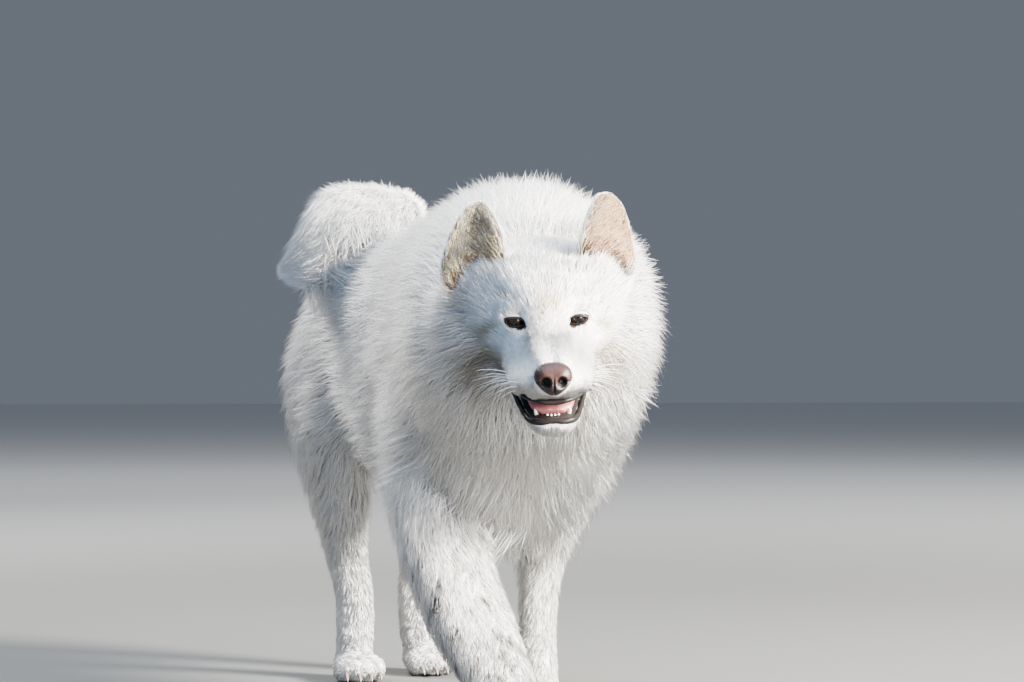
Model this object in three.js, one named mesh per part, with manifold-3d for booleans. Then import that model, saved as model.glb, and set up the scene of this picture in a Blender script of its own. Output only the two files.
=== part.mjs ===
// A life-size samoyed walking, head carried low and turned to its right, tail curled over the back.
// Millimetres, +Z up. The dog faces -Y, its right side is -X, and its paws stand on z = 0.
import * as THREE from 'three';
import { mergeVertices } from 'three/addons/utils/BufferGeometryUtils.js';
import Module from 'manifold-3d';

const wasm = await Module();
wasm.setup();

// Driving dimensions, in millimetres and degrees
const GAP = 0.3; // kept between touching nodes
const ROOT_SINK = 10; // how far a lock's root sits in the core
const BODY_SHIFT = [16, 90, 0]; // moves the floor point under the middle of the dog to the origin
const HEAD_AT = [-84.5, -475, 438.5]; // the point midway between the eyes
const HEAD_TURN = { pitch: 19.3, roll: -2.5, yaw: -18 };
const EYE = { x: 30.5, y: 6, z: 0, radius: 12 };
const LID = { half: 11.5, up: 6.4, down: 5.6, tube: 2.2, lift: 0.8 };
const NOSE = { y: -93, z: -29, half: 18.5, up: 14.5, down: 16, depth: 17 };
const PAW = { length: 94, width: 64 };
const CLAW = { radius: 3.4, length: 16, sides: 4 };
const KNEE_CUT = { foreleg: 200, thigh: 196 }; // height at which each leg is parted
const PAW_CUT = 10; // height of the leg's lower end, inside its paw
const PAW_AT = {
  foreleg_left: [37, -164, -2],
  foreleg_right: [-50, -324, -8],
  thigh_left: [54, 292, 4],
  thigh_right: [-54, 252, -4],
};

// Sides round each body and steps along it.
const MESH = {
  head: [18, 15],
  jaw: [12, 8],
  tongue: [8, 6],
  ear: [12, 7],
  neck: [14, 7],
  torso: [14, 8],
  tail: [8, 10],
  leg: [9, 11],
};

const SIDEWAYS = new THREE.Vector3(1, 0, 0);
const DOWN = new THREE.Vector3(0, 0, -1);
const BACK = new THREE.Vector3(0, 1, 0);
const { lerp, smoothstep, clamp } = THREE.MathUtils;

// The long coat. inset is from the tips of the coat down to the core that carries the locks, and may
// change along the body. from and to are where the core starts and ends along it, rows where rows of
// locks are rooted. length, width and thick are a lock's sizes, spread the room between two in a row,
// and hang and back turn their lie from along the body towards the ground or the tail.
const COAT = {
  neck: {
    inset: 30,
    rows: [0.2, 0.32, 0.45, 0.59],
    length: 165,
    width: 51,
    thick: 20,
    spread: 90,
    hang: 0.45,
    seed: 11,
  },
  torso: {
    inset: 26,
    from: 0.04,
    to: 0.95,
    rows: [0.14, 0.28, 0.42, 0.56, 0.7, 0.84],
    length: 175,
    width: 60,
    thick: 19,
    spread: 114,
    hang: 0.5,
    seed: 23,
  },
  tail: {
    inset: 17,
    to: 0.93,
    rows: [0.16, 0.36, 0.56, 0.76],
    length: 125,
    width: 34,
    thick: 14,
    spread: 66,
    hang: 0.5,
    seed: 31,
  },
  thigh: {
    inset: (t) => 20 * (1 - smoothstep(t, 0.45, 0.6)),
    rows: [0.15, 0.29, 0.43],
    length: 118,
    width: 41,
    thick: 15,
    spread: 86,
    back: 0.5,
    seed: 43,
  },
  foreleg: {
    inset: (t) => 13 * (1 - smoothstep(t, 0.5, 0.85)),
    rows: [0.22, 0.4, 0.58],
    length: 100,
    width: 31,
    thick: 12,
    spread: 66,
    back: 0.5,
    seed: 57,
  },
};
const COLOURS = {
  coat: 0xf1efea,
  ear: 0xe2d6c6,
  nose: 0x5a403a,
  eye: 0x2a1a12,
  tongue: 0xc67f7c,
};

// Coat outlines. A station is x, y, z, half width, reach up, reach down, and lean of the section.
const OUTLINES = {
  torso: [
    [0, -292, 392, 26, 40, 60],
    [0, -276, 398, 86, 104, 138],
    [0, -235, 405, 126, 155, 205],
    [0, -160, 410, 148, 187, 232],
    [0, -60, 412, 150, 178, 222],
    [0, 40, 414, 147, 165, 198],
    [0, 130, 416, 144, 156, 168],
    [0, 205, 416, 150, 150, 136],
    [0, 268, 410, 140, 134, 118],
    [0, 316, 402, 98, 94, 88],
    [0, 340, 396, 30, 32, 32],
  ],
  neck: [
    [-82, -442, 440, 46, 40, 52],
    [-77, -424, 440, 94, 74, 92],
    [-66, -390, 442, 128, 110, 118],
    [-50, -340, 440, 147, 143, 146],
    [-28, -270, 432, 150, 171, 182],
    [-8, -185, 424, 143, 184, 196],
    [0, -95, 418, 118, 150, 156],
    [0, -55, 416, 60, 80, 80],
  ],
  tail: [
    [0, 296, 476, 24, 24, 24],
    [3, 326, 520, 36, 30, 34],
    [2, 318, 562, 46, 34, 40],
    [-14, 272, 588, 58, 36, 40],
    [-48, 218, 588, 66, 36, 38],
    [-92, 172, 560, 62, 34, 40],
    [-138, 148, 530, 38, 26, 30],
    [-180, 138, 512, 12, 10, 10],
  ],
  thigh: [
    [-58, 232, 480, 40, 70, 66],
    [-80, 230, 425, 66, 104, 94],
    [-91, 224, 360, 65, 116, 98],
    [-88, 226, 290, 56, 108, 74],
    [-76, 246, 220, 43, 80, 48],
    [-59, 276, 160, 31, 47, 32],
    [-49, 278, 110, 28, 33, 27],
    [-49, 273, 62, 28, 30, 28],
    [-53, 268, 24, 28, 28, 27],
  ],
  leftForeleg: [
    [58, -135, 405, 40, 60, 60],
    [74, -112, 335, 50, 66, 58],
    [72, -108, 270, 46, 62, 45],
    [60, -118, 205, 37, 54, 34],
    [48, -126, 150, 31, 44, 29],
    [42, -134, 105, 28, 35, 26],
    [38, -142, 62, 27, 29, 27],
    [37, -149, 24, 27, 26, 27],
  ],
  rightForeleg: [
    [-62, -150, 405, 40, 60, 60],
    [-90, -152, 335, 60, 80, 60],
    [-95, -165, 270, 60, 86, 50],
    [-92, -200, 205, 56, 86, 42],
    [-86, -237, 150, 51, 80, 38],
    [-75, -267, 105, 48, 68, 34],
    [-62, -293, 62, 40, 44, 31],
    [-53, -308, 24, 31, 30, 28],
  ],
  // The head's and the jaw's outlines are in the head's own frame, the eyes at its origin.
  head: [
    [0, -97, -33, 12, 8, 10, 0],
    [0, -88, -34, 27, 18, 19, 0.15],
    [0, -66, -34, 36, 24, 22, 0.3],
    [0, -46, -33, 40, 23, 24, 0.42],
    [0, -26, -30, 42, 23, 28, 0.46],
    [0, -9, -21, 44, 25, 40, 0.46],
    [0, 9, -12, 56, 40, 54, 0.32],
    [0, 34, -4, 76, 58, 68, 0.1],
    [0, 64, -2, 94, 72, 78, 0],
    [0, 94, -4, 92, 68, 76, 0],
    [0, 120, -8, 72, 50, 58, 0],
    [0, 136, -10, 30, 24, 28, 0],
  ],
  jaw: [
    [0, -84, -81, 12, 6, 8, 0],
    [0, -77, -82, 21, 11, 13, -0.1],
    [0, -58, -81, 27, 12, 16, -0.15],
    [0, -34, -76, 33, 14, 20, -0.15],
    [0, -6, -67, 40, 20, 24, -0.1],
    [0, 26, -58, 44, 24, 26, 0],
    [0, 48, -54, 28, 14, 16, 0],
  ],
  tongue: [
    [0, -66, -71, 9, 3, 3, 0],
    [0, -60, -69, 14, 4, 4, 0],
    [0, -42, -64, 17, 5, 4, 0],
    [0, -24, -58, 16, 5, 4, 0],
    [0, -14, -55, 9, 3, 3, 0],
  ],
  rightEar: [
    [-62, 68, 8, 26, 9, 9],
    [-64, 62, 32, 34, 8, 6],
    [-64, 60, 56, 31, 5, 4],
    [-63, 62, 77, 24, 4, 3.5],
    [-62, 65, 94, 14, 3.5, 3],
    [-61, 67, 104, 6, 2.5, 2.5],
  ],
  leftEar: [
    [60, 68, 14, 26, 9, 9],
    [63, 62, 38, 33, 8, 6],
    [66, 60, 64, 30, 5, 4],
    [68, 62, 86, 23, 4, 3.5],
    [70, 65, 103, 13, 3.5, 3],
    [71, 67, 113, 6, 2.5, 2.5],
  ],
};

// A smooth body along a spine through its stations, squared a little by its squareness (2 is round).
function bodyAlong(stations, { squareness = 2.2, side = SIDEWAYS, cup = null } = {}) {
  const through = (points) => new THREE.CatmullRomCurve3(points, false, 'catmullrom', 0.5);
  const spine = through(stations.map(([x, y, z]) => new THREE.Vector3(x, y, z)));
  const girth = through(stations.map(([, , , half, up, down]) => new THREE.Vector3(half, up, down)));
  const lean = through(stations.map((s) => new THREE.Vector3(s[6] ?? 0, 0, 0)));
  const round = (v) => Math.sign(v) * Math.abs(v) ** (2 / squareness);

  function frameAt(t) {
    const along = spine.getTangent(t);
    const across = side.clone().addScaledVector(along, -side.dot(along)).normalize();
    return { centre: spine.getPoint(t), along, across, out: across.clone().cross(along) };
  }

  // The point at t along the spine and at an angle round it, 0 being up, moved inwards by inset.
  function pointAt(t, angle, inset = 0, reach = 1) {
    const { centre, across, out } = frameAt(t);
    const size = girth.getPoint(t);
    const w = round(Math.sin(angle));
    const h = round(Math.cos(angle));
    const half = Math.max(size.x - inset, 4) * (1 - lean.getPoint(t).x * h);
    const rise = Math.max((h > 0 ? size.y : size.z) - inset, 4);
    const bend = cup ? cup(t) * w * w : 0;
    return centre.addScaledVector(across, half * w * reach).addScaledVector(out, (rise * h - bend) * reach);
  }

  // How the surface point moves for a small step along the spine and for one round it.
  function slopesAt(t, angle, inset) {
    const step = 0.01;
    const ahead = pointAt(Math.min(t + step, 1), angle, inset);
    const along = ahead.sub(pointAt(Math.max(t - step, 0), angle, inset));
    const around = pointAt(t, angle + step, inset).sub(pointAt(t, angle - step, inset));
    return { along: along.divideScalar(2 * step), around: around.divideScalar(2 * step) };
  }

  // The closed solid, with so many sides round it and so many steps along it.
  function solid(sides, steps, { inset = () => 0, grow = 0, from = 0, to = 1 } = {}) {
    const shape = new THREE.CylinderGeometry(1, 1, 1, sides, steps);
    warp(shape, (v) => {
      const part = clamp(v.y + 0.5, 0, 1);
      const t = lerp(from, to, part);
      const point = pointAt(t, Math.atan2(v.x, v.z), inset(t) - grow, Math.hypot(v.x, v.z));
      const end = part === 0 ? -grow : part === 1 ? grow : 0;
      return point.addScaledVector(frameAt(t).along, end);
    });
    return solidOf(shape);
  }

  // Whether the outline holds a point.
  function holds(point) {
    const slices = 40;
    const reach = (0.75 * spine.getLength()) / slices;
    return Array.from({ length: slices + 1 }, (_, i) => i / slices).some((t) => {
      const { centre, along, across, out } = frameAt(t);
      const off = point.clone().sub(centre);
      if (Math.abs(off.dot(along)) > reach) return false;
      const size = girth.getPoint(t);
      const w = off.dot(across) / size.x;
      const h = off.dot(out) / (off.dot(out) > 0 ? size.y : size.z);
      return Math.abs(w) ** squareness + Math.abs(h) ** squareness < 1;
    });
  }

  return { frameAt, pointAt, slopesAt, solid, holds };
}

// Random numbers from 0 to 1 that are the same on every run.
function seeded(seed) {
  let state = seed;
  return () => {
    state = (state * 16807) % 2147483647;
    return state / 2147483647;
  };
}

// A flat lock along a bent path: narrow at its root, widest at its knee, tapered to its tip, with
// a ridge along its outer side. Grown, it holds the plain lock with that room on every side.
function lock(root, knee, tip, out, { width, thick, grow }) {
  const path = new THREE.QuadraticBezierCurve3(root, knee, tip);
  const shape = new THREE.ConeGeometry(1, 1, 3, 3);
  warp(shape, (v) => {
    const s = clamp(v.y + 0.5, 0, 1);
    const along = path.getTangent(s);
    if (s === 1) return tip.clone().addScaledVector(along, 10 * grow);
    const full = 0.6 + 1.5 * s - 1.8 * s * s;
    const across = along.clone().cross(out).normalize();
    return path
      .getPoint(s)
      .addScaledVector(along, s === 0 ? -3 * grow : 0)
      .addScaledVector(across, (v.x / (1 - s)) * (width * full + 5 * grow))
      .addScaledVector(across.clone().cross(along), (v.z / (1 - s)) * (thick * full + 2 * grow));
  });
  return solidOf(shape);
}

// Rows of locks round a form, each row set half a place round from the one before it, so that they
// cover the core as tiles do. free says where a lock may root.
function locksOn(form, coat, free, grow = 0) {
  const { rows, length, width, thick, spread, hang = 0, back = 0, seed } = coat;
  const random = seeded(seed);
  const inset = insetOf(coat);
  const locks = [];
  rows.forEach((t, row) => {
    const aside = form.slopesAt(t, Math.PI / 2, inset(t)).around.length();
    const above = form.slopesAt(t, 0, inset(t)).around.length();
    const count = Math.max(3, Math.round((Math.PI * (aside + above)) / spread));
    for (let i = 0; i < count; i += 1) {
      const place = (i + 0.5 * (row % 2) + 0.3 * (random() - 0.5)) / count;
      const angle = lerp(-Math.PI, Math.PI, place);
      const size = lerp(0.85, 1.15, random());
      const turn = 0.25 * (random() - 0.5);
      const rise = lerp(2, 7, random());
      const at = form.pointAt(t, angle);
      if (!free(at)) continue;
      const { along, around } = form.slopesAt(t, angle, 0);
      const out = around.clone().cross(along).normalize();
      const lie = along.clone().normalize().addScaledVector(DOWN, hang).addScaledVector(BACK, back);
      lie.addScaledVector(around.clone().normalize(), turn);
      lie.addScaledVector(out, -lie.dot(out)).normalize().multiplyScalar(length * size);
      const dt = lie.dot(along) / along.lengthSq();
      const da = lie.dot(around) / around.lengthSq();
      const over = Math.max(t + dt - 1, 0);
      const root = form.pointAt(t, angle, inset(t)).addScaledVector(out, -ROOT_SINK);
      const knee = form.pointAt(Math.min(t + 0.4 * dt, 1), angle + 0.4 * da, -rise);
      const tip = form.pointAt(Math.min(t + dt, 1), angle + da, -rise).addScaledVector(along, over);
      locks.push(lock(root, knee, tip, out, { width: width * size, thick: thick * size, grow }));
    }
  });
  return locks;
}

const insetOf = ({ inset = 0 }) => (typeof inset === 'function' ? inset : () => inset);

// The core of a form with its locks.
function coated(form, mesh, coat, free, grow = 0) {
  const core = form.solid(...mesh, { inset: insetOf(coat), grow, from: coat.from, to: coat.to });
  return joined([core, ...locksOn(form, coat, free, grow)]);
}

function warp(geometry, moved) {
  const place = geometry.attributes.position;
  const v = new THREE.Vector3();
  for (let i = 0; i < place.count; i += 1) {
    const { x, y, z } = moved(v.fromBufferAttribute(place, i));
    place.setXYZ(i, x, y, z);
  }
  return geometry;
}

function solidOf(geometry) {
  geometry.deleteAttribute('normal');
  geometry.deleteAttribute('uv');
  const merged = mergeVertices(geometry, 1e-4);
  return new wasm.Manifold(
    new wasm.Mesh({
      numProp: 3,
      vertProperties: merged.attributes.position.array,
      triVerts: new Uint32Array(merged.index.array),
    }),
  );
}

function geometryOf(solid) {
  const mesh = solid.getMesh();
  const geometry = new THREE.BufferGeometry();
  geometry.setAttribute('position', new THREE.BufferAttribute(mesh.vertProperties, 3));
  geometry.setIndex(new THREE.BufferAttribute(mesh.triVerts, 1));
  geometry.computeVertexNormals();
  return geometry;
}

const joined = (solids) => wasm.Manifold.union(solids);
const largest = (solid) => solid.decompose().reduce((a, b) => (b.volume() > a.volume() ? b : a));
const mirrored = (stations, dy = 0) => stations.map(([x, y, z, ...size]) => [-x, y + dy, z, ...size]);

// An ellipsoid with its centre and its three half sizes.
function ellipsoid([x, y, z], [a, b, c], grow = 0, sides = 12, rings = 8) {
  const shape = new THREE.SphereGeometry(1, sides, rings);
  shape.rotateX(Math.PI / 2);
  shape.scale(a + grow, b + grow, c + grow);
  return solidOf(shape.translate(x, y, z));
}

const headMatrix = new THREE.Matrix4()
  .makeRotationFromEuler(
    new THREE.Euler(
      THREE.MathUtils.degToRad(HEAD_TURN.pitch),
      THREE.MathUtils.degToRad(HEAD_TURN.roll),
      THREE.MathUtils.degToRad(HEAD_TURN.yaw),
      'ZXY',
    ),
  )
  .setPosition(...HEAD_AT);
const inRow = (solid) => solid.transform([...headMatrix.elements]);

// Head, in its own frame
const headForm = bodyAlong(OUTLINES.head, { squareness: 2.15 });
const jawForm = bodyAlong(OUTLINES.jaw, { squareness: 2.3 });
const tongueForm = bodyAlong(OUTLINES.tongue);
const earForms = [OUTLINES.rightEar, OUTLINES.leftEar].map((stations, i) =>
  bodyAlong(stations, {
    side: new THREE.Vector3(1, i ? 0.28 : -0.28, 0).normalize(),
    cup: (t) => -17 * (1 - t) * Math.min(1, 0.4 + 3 * t),
  }),
);

function eyeball(s, grow = 0) {
  return ellipsoid([s * EYE.x, EYE.y, EYE.z], [EYE.radius, EYE.radius, EYE.radius], grow, 10, 8);
}

// An almond ring of skin that follows the eyeball.
function lids(s) {
  const ring = new THREE.TorusGeometry(1, 0.3, 5, 14);
  warp(ring, (v) => {
    const angle = Math.atan2(v.y, v.x);
    const off = (Math.hypot(v.x, v.y) - 1) / 0.3;
    const x = Math.cos(angle) * (LID.half + off * LID.tube);
    const z = Math.sin(angle) * ((v.y > 0 ? LID.up : LID.down) + off * LID.tube) + 0.12 * x;
    const dx = x + 2;
    const reach = Math.sqrt(Math.max((EYE.radius + LID.lift) ** 2 - 0.8 * dx * dx - z * z, 4));
    return new THREE.Vector3(s * (EYE.x + x + 2), EYE.y - reach - (v.z / 0.3) * LID.tube, EYE.z + z);
  });
  if (s < 0) ring.index.array.reverse();
  return solidOf(ring);
}

function noseSolid(grow = 0) {
  const shape = new THREE.SphereGeometry(1, 12, 8);
  warp(shape, ({ x, y, z }) => {
    const taper = 1 - 0.42 * Math.max(0, -y) ** 1.2;
    const rise = y > 0 ? NOSE.up : NOSE.down;
    return new THREE.Vector3(
      x * (NOSE.half + grow) * taper,
      NOSE.y - z * (NOSE.depth + grow) * (1 - 0.12 * y) + 3 * y,
      NOSE.z + y * (rise + grow),
    );
  });
  return solidOf(shape);
}

// Each nostril opens forwards and sweeps out to the side as a comma.
function nostril(s) {
  const hole = ellipsoid([s * 7.4, NOSE.y - 15, NOSE.z - 1], [3.6, 8, 4.2], 0, 8, 6);
  const slit = ellipsoid([s * 12.5, NOSE.y - 11, NOSE.z - 3.2], [5, 7, 1.6], 0, 6, 4);
  return hole.add(slit);
}

function philtrum() {
  return ellipsoid([0, NOSE.y - 16, NOSE.z - 10], [0.9, 5, 12], 0, 6, 6);
}

// A rounded lip round the front of the muzzle or the jaw, from one corner of the mouth to the other.
function lip(form, { middle, swing, front, corner, radius, inset }) {
  const steps = 8;
  const points = [];
  for (let i = -steps; i <= steps; i += 1) {
    const part = Math.abs(i) / steps;
    const turn = Math.sign(i) * swing * Math.min(1, part / 0.35) ** 0.7;
    const t = lerp(front, corner, Math.max(0, (part - 0.15) / 0.85));
    points.push(form.pointAt(t, middle + turn, inset));
  }
  const section = new THREE.Shape();
  section.absarc(0, 0, radius, 0, 2 * Math.PI);
  const extrudePath = new THREE.CatmullRomCurve3(points);
  const shape = { steps: 14, extrudePath, curveSegments: 3, bevelEnabled: false };
  return solidOf(new THREE.ExtrudeGeometry(section, shape));
}

// The hollow in which each eye and its lids sit, between the brow and the cheek.
const socket = (s) => ellipsoid([s * 33, -8, 0], [15, 9, 9], 0, 8, 6);
const UPPER_LIP = { middle: Math.PI, swing: 1.05, front: 0.07, corner: 0.5, radius: 3, inset: 1 };
const LOWER_LIP = { middle: 0, swing: 1.1, front: 0.08, corner: 0.8, radius: 3.4, inset: 1.5 };
const upperLip = lip(headForm, UPPER_LIP);
const lowerLip = lip(jawForm, LOWER_LIP);
const headSolid = headForm
  .solid(...MESH.head)
  .subtract(joined([socket(-1), socket(1)]))
  .add(joined([lids(-1), lids(1), upperLip]));
const headFull = (grow) => headForm.solid(...MESH.head, { grow });

const nodes = {};
nodes.nose = {
  solid: noseSolid().subtract(joined([nostril(-1), nostril(1), philtrum()])),
  colour: COLOURS.nose,
  onHead: true,
};
nodes.eye_right = { solid: eyeball(-1), colour: COLOURS.eye, onHead: true };
nodes.eye_left = { solid: eyeball(1), colour: COLOURS.eye, onHead: true };
nodes.head = {
  solid: headSolid.subtract(joined([noseSolid(GAP), eyeball(-1, GAP), eyeball(1, GAP)])),
  colour: COLOURS.coat,
  onHead: true,
};
nodes.jaw = {
  solid: jawForm.solid(...MESH.jaw).add(lowerLip).subtract(headFull(GAP)),
  colour: COLOURS.coat,
  onHead: true,
};
nodes.tongue = {
  solid: tongueForm
    .solid(...MESH.tongue)
    .subtract(joined([headFull(GAP), jawForm.solid(...MESH.jaw, { grow: GAP })])),
  colour: COLOURS.tongue,
  onHead: true,
};
earForms.forEach((form, i) => {
  nodes[i ? 'ear_left' : 'ear_right'] = {
    solid: form.solid(...MESH.ear).subtract(headFull(GAP)),
    colour: COLOURS.ear,
    onHead: true,
  };
});

// Body
const torsoForm = bodyAlong(OUTLINES.torso, { squareness: 2.3 });
const neckForm = bodyAlong(OUTLINES.neck, { squareness: 2.1 });
const tailForm = bodyAlong(OUTLINES.tail, { side: new THREE.Vector3(1, 0.25, 0).normalize() });
const legForms = {
  foreleg_left: bodyAlong(OUTLINES.leftForeleg),
  foreleg_right: bodyAlong(OUTLINES.rightForeleg),
  thigh_right: bodyAlong(OUTLINES.thigh),
  thigh_left: bodyAlong(mirrored(OUTLINES.thigh, 40)),
};

const headCut = (grow) =>
  inRow(
    joined([
      headFull(grow),
      jawForm.solid(...MESH.jaw, { grow }),
      ...earForms.map((form) => form.solid(...MESH.ear, { grow })),
    ]),
  );

// Locks are left out where another part's coat covers their roots.
const outside = (...forms) => (point) => !forms.some((form) => form.holds(point));
const legs = Object.values(legForms);
const neckCoat = (grow) => coated(neckForm, MESH.neck, COAT.neck, outside(torsoForm), grow);
const torsoCoat = (grow) => coated(torsoForm, MESH.torso, COAT.torso, outside(neckForm, ...legs), grow);

nodes.neck = { solid: neckCoat(0).subtract(headCut(GAP)), colour: COLOURS.coat };
nodes.torso = { solid: torsoCoat(0).subtract(neckCoat(GAP)), colour: COLOURS.coat };
nodes.tail = {
  solid: coated(tailForm, MESH.tail, COAT.tail, outside(torsoForm)).subtract(torsoCoat(GAP)),
  colour: COLOURS.coat,
};

// A box that holds everything between two heights.
function slab(low, high) {
  const size = 2000;
  return solidOf(new THREE.BoxGeometry(size, size, high - low).translate(0, 0, (low + high) / 2));
}

function paw([x, y, turn], grow = 0) {
  const toe = (i) => {
    const side = (i - 1.5) / 1.5;
    const inner = 1 - Math.abs(side);
    return ellipsoid(
      [side * PAW.width * 0.33, -PAW.length * (0.16 + 0.16 * inner), 15],
      [PAW.width * 0.165, PAW.length * 0.27, 17],
      grow,
      6,
      4,
    );
  };
  const claw = (i) => {
    const side = (i - 1.5) / 1.5;
    const inner = 1 - Math.abs(side);
    const shape = new THREE.ConeGeometry(CLAW.radius + grow, CLAW.length, CLAW.sides);
    const at = [side * PAW.width * 0.34, -PAW.length * (0.43 + 0.15 * inner), 9];
    return solidOf(shape.rotateX(Math.PI / 2 + 0.5).translate(...at));
  };
  const count = [0, 1, 2, 3];
  const pad = ellipsoid([0, PAW.length * 0.08, 18], [PAW.width * 0.44, PAW.length * 0.4, 24], grow, 8, 5);
  const whole = joined([pad, ...count.map(toe), ...count.map(claw)]);
  return whole.rotate([0, 0, turn]).translate([x, y, 0]).intersect(slab(0, 100));
}

const trunk = joined([torsoCoat(GAP), neckCoat(GAP)]);
Object.entries(legForms).forEach(([name, form]) => {
  const [kind, flank] = name.split('_');
  const cut = KNEE_CUT[kind];
  const whole = coated(form, MESH.leg, COAT[kind], outside(torsoForm, neckForm));
  const clear = whole.subtract(joined([trunk, paw(PAW_AT[name], GAP)]));
  const [lower, foot] = kind === 'thigh' ? ['hock', 'hindpaw'] : ['forearm', 'forepaw'];
  nodes[name] = { solid: clear.intersect(slab(cut + GAP, 900)), colour: COLOURS.coat };
  nodes[`${lower}_${flank}`] = { solid: clear.intersect(slab(PAW_CUT, cut)), colour: COLOURS.coat };
  nodes[`${foot}_${flank}`] = { solid: paw(PAW_AT[name]), colour: COLOURS.coat };
});

const dog = new THREE.Group();
const head = new THREE.Group();
head.applyMatrix4(headMatrix);
dog.add(head);
dog.position.set(...BODY_SHIFT);
Object.entries(nodes).forEach(([name, { solid, colour, onHead }]) => {
  const material = new THREE.MeshStandardMaterial({ color: colour, roughness: 0.8, metalness: 0 });
  const mesh = new THREE.Mesh(geometryOf(largest(solid)), material);
  mesh.name = name;
  (onHead ? head : dog).add(mesh);
});

export default dog;
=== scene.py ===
"""A samoyed as a still, life-size model: walking, head carried low and turned to its right, tail
curled over the back. Metres, +Z up. The dog faces -Y, its right side is -X, its paws stand on z = 0."""

import math

import bpy
import numpy as np
from mathutils import Matrix, Vector


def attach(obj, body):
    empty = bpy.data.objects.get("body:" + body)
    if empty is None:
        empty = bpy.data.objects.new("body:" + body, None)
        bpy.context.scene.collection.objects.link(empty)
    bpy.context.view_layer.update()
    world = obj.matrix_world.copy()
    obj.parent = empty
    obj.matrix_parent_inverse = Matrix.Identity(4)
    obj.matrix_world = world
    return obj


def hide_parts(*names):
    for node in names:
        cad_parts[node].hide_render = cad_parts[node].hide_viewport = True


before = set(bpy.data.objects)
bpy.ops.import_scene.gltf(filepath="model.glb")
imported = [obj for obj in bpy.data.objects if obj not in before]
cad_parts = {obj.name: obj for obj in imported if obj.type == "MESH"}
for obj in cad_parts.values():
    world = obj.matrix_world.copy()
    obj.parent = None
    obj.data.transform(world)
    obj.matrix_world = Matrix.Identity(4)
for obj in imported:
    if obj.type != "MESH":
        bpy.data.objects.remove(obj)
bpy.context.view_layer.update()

# Sizes in millimetres and turns in degrees. The head's own frame has its origin between the eyes. back is
# the y in front of which the eye lies, flat how much its lids bend back towards the nose and the ear, and
# CORNEA's angle is in radians from the gaze.
MM = 0.001
BODY_SHIFT = (16, 90, 0)
HEAD_AT = (-84.5, -475, 438.5)
HEAD_PITCH, HEAD_ROLL, HEAD_YAW = 19.3, -2.5, -18
EYE = {"x": 30.5, "y": 6.0, "z": 0.0, "radius": 12.0, "back": 12}
CORNEA = {"bulge": 0.05, "angle": 0.42}
GAZE_OUT = 9
LID = {"half": 9.8, "up": 4.6, "down": 4.0, "tilt": 0.06, "shift": 0.6, "flat": (0.4, 0.8)}
NOSE = {"y": -93, "z": -29, "half": 18.5, "up": 14.5, "down": 16, "depth": 14}
NOSTRIL = {"out": 7.6, "below": 0.8, "half": 4.2, "reach": 4.6, "deep": 7.5}
SLIT = {"out": 12.5, "below": 2.4, "half": 4.4, "reach": 1.4, "deep": 2.8}
FURROW = {"half": 0.9, "deep": 1.6}
WING = {"out": 9, "above": 6, "size": 5, "proud": 1.3}
PAW = {"length": 94, "width": 64}
TOES = (-1, -1 / 3, 1 / 3, 1)
SIDES = {"right": -1, "left": 1}
PAW_AT = {
    "forepaw_left": (37, -164, -2),
    "forepaw_right": (-50, -324, -8),
    "hindpaw_left": (54, 292, 4),
    "hindpaw_right": (-54, 252, -4),
}
FLESH = ["head", "jaw", "ear_left", "ear_right", "neck", "torso", "tail"]
FLESH += [limb + side for side in ("_left", "_right") for limb in ("foreleg", "forearm", "forepaw")]
FLESH += [limb + side for side in ("_left", "_right") for limb in ("thigh", "hock", "hindpaw")]

# Coat outlines in millimetres: x, y, z, half width, reach up, reach down, and lean of the section
TORSO = [
    (0, -292, 392, 26, 40, 60), (0, -276, 398, 86, 104, 138), (0, -235, 405, 126, 155, 205),
    (0, -160, 410, 148, 187, 232), (0, -60, 412, 150, 178, 222), (0, 40, 414, 147, 165, 198),
    (0, 130, 416, 144, 156, 168), (0, 205, 416, 150, 150, 136), (0, 268, 410, 140, 134, 118),
    (0, 316, 402, 98, 94, 88), (0, 340, 396, 30, 32, 32),
]
NECK = [
    (-82, -442, 440, 46, 40, 52), (-77, -424, 440, 94, 74, 92), (-66, -390, 442, 128, 110, 118),
    (-50, -340, 440, 147, 143, 146), (-28, -270, 432, 150, 171, 182), (-8, -185, 424, 143, 184, 196),
    (0, -95, 418, 118, 150, 156), (0, -55, 416, 60, 80, 80),
]
TAIL = [
    (0, 296, 476, 24, 24, 24), (3, 326, 520, 36, 30, 34), (2, 318, 562, 46, 34, 40),
    (-14, 272, 588, 58, 36, 40), (-48, 218, 588, 66, 36, 38), (-92, 172, 560, 62, 34, 40),
    (-138, 148, 530, 38, 26, 30), (-180, 138, 512, 12, 10, 10),
]
THIGH = [
    (-58, 232, 480, 40, 70, 66), (-80, 230, 425, 66, 104, 94), (-91, 224, 360, 65, 116, 98),
    (-88, 226, 290, 56, 108, 74), (-76, 246, 220, 43, 80, 48), (-59, 276, 160, 31, 47, 32),
    (-49, 278, 110, 28, 33, 27), (-49, 273, 62, 28, 30, 28), (-53, 268, 24, 28, 28, 27),
]
LEFT_FORELEG = [
    (58, -135, 405, 40, 60, 60), (74, -112, 335, 50, 66, 58), (72, -108, 270, 46, 62, 45),
    (60, -118, 205, 37, 54, 34), (48, -126, 150, 31, 44, 29), (42, -134, 105, 28, 35, 26),
    (38, -142, 62, 27, 29, 27), (37, -149, 24, 27, 26, 27),
]
RIGHT_FORELEG = [
    (-62, -150, 405, 40, 60, 60), (-90, -152, 335, 60, 80, 60), (-95, -165, 270, 60, 86, 50),
    (-92, -200, 205, 56, 86, 42), (-86, -237, 150, 51, 80, 38), (-75, -267, 105, 48, 68, 34),
    (-62, -293, 62, 40, 44, 31), (-53, -308, 24, 31, 30, 28),
]
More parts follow.
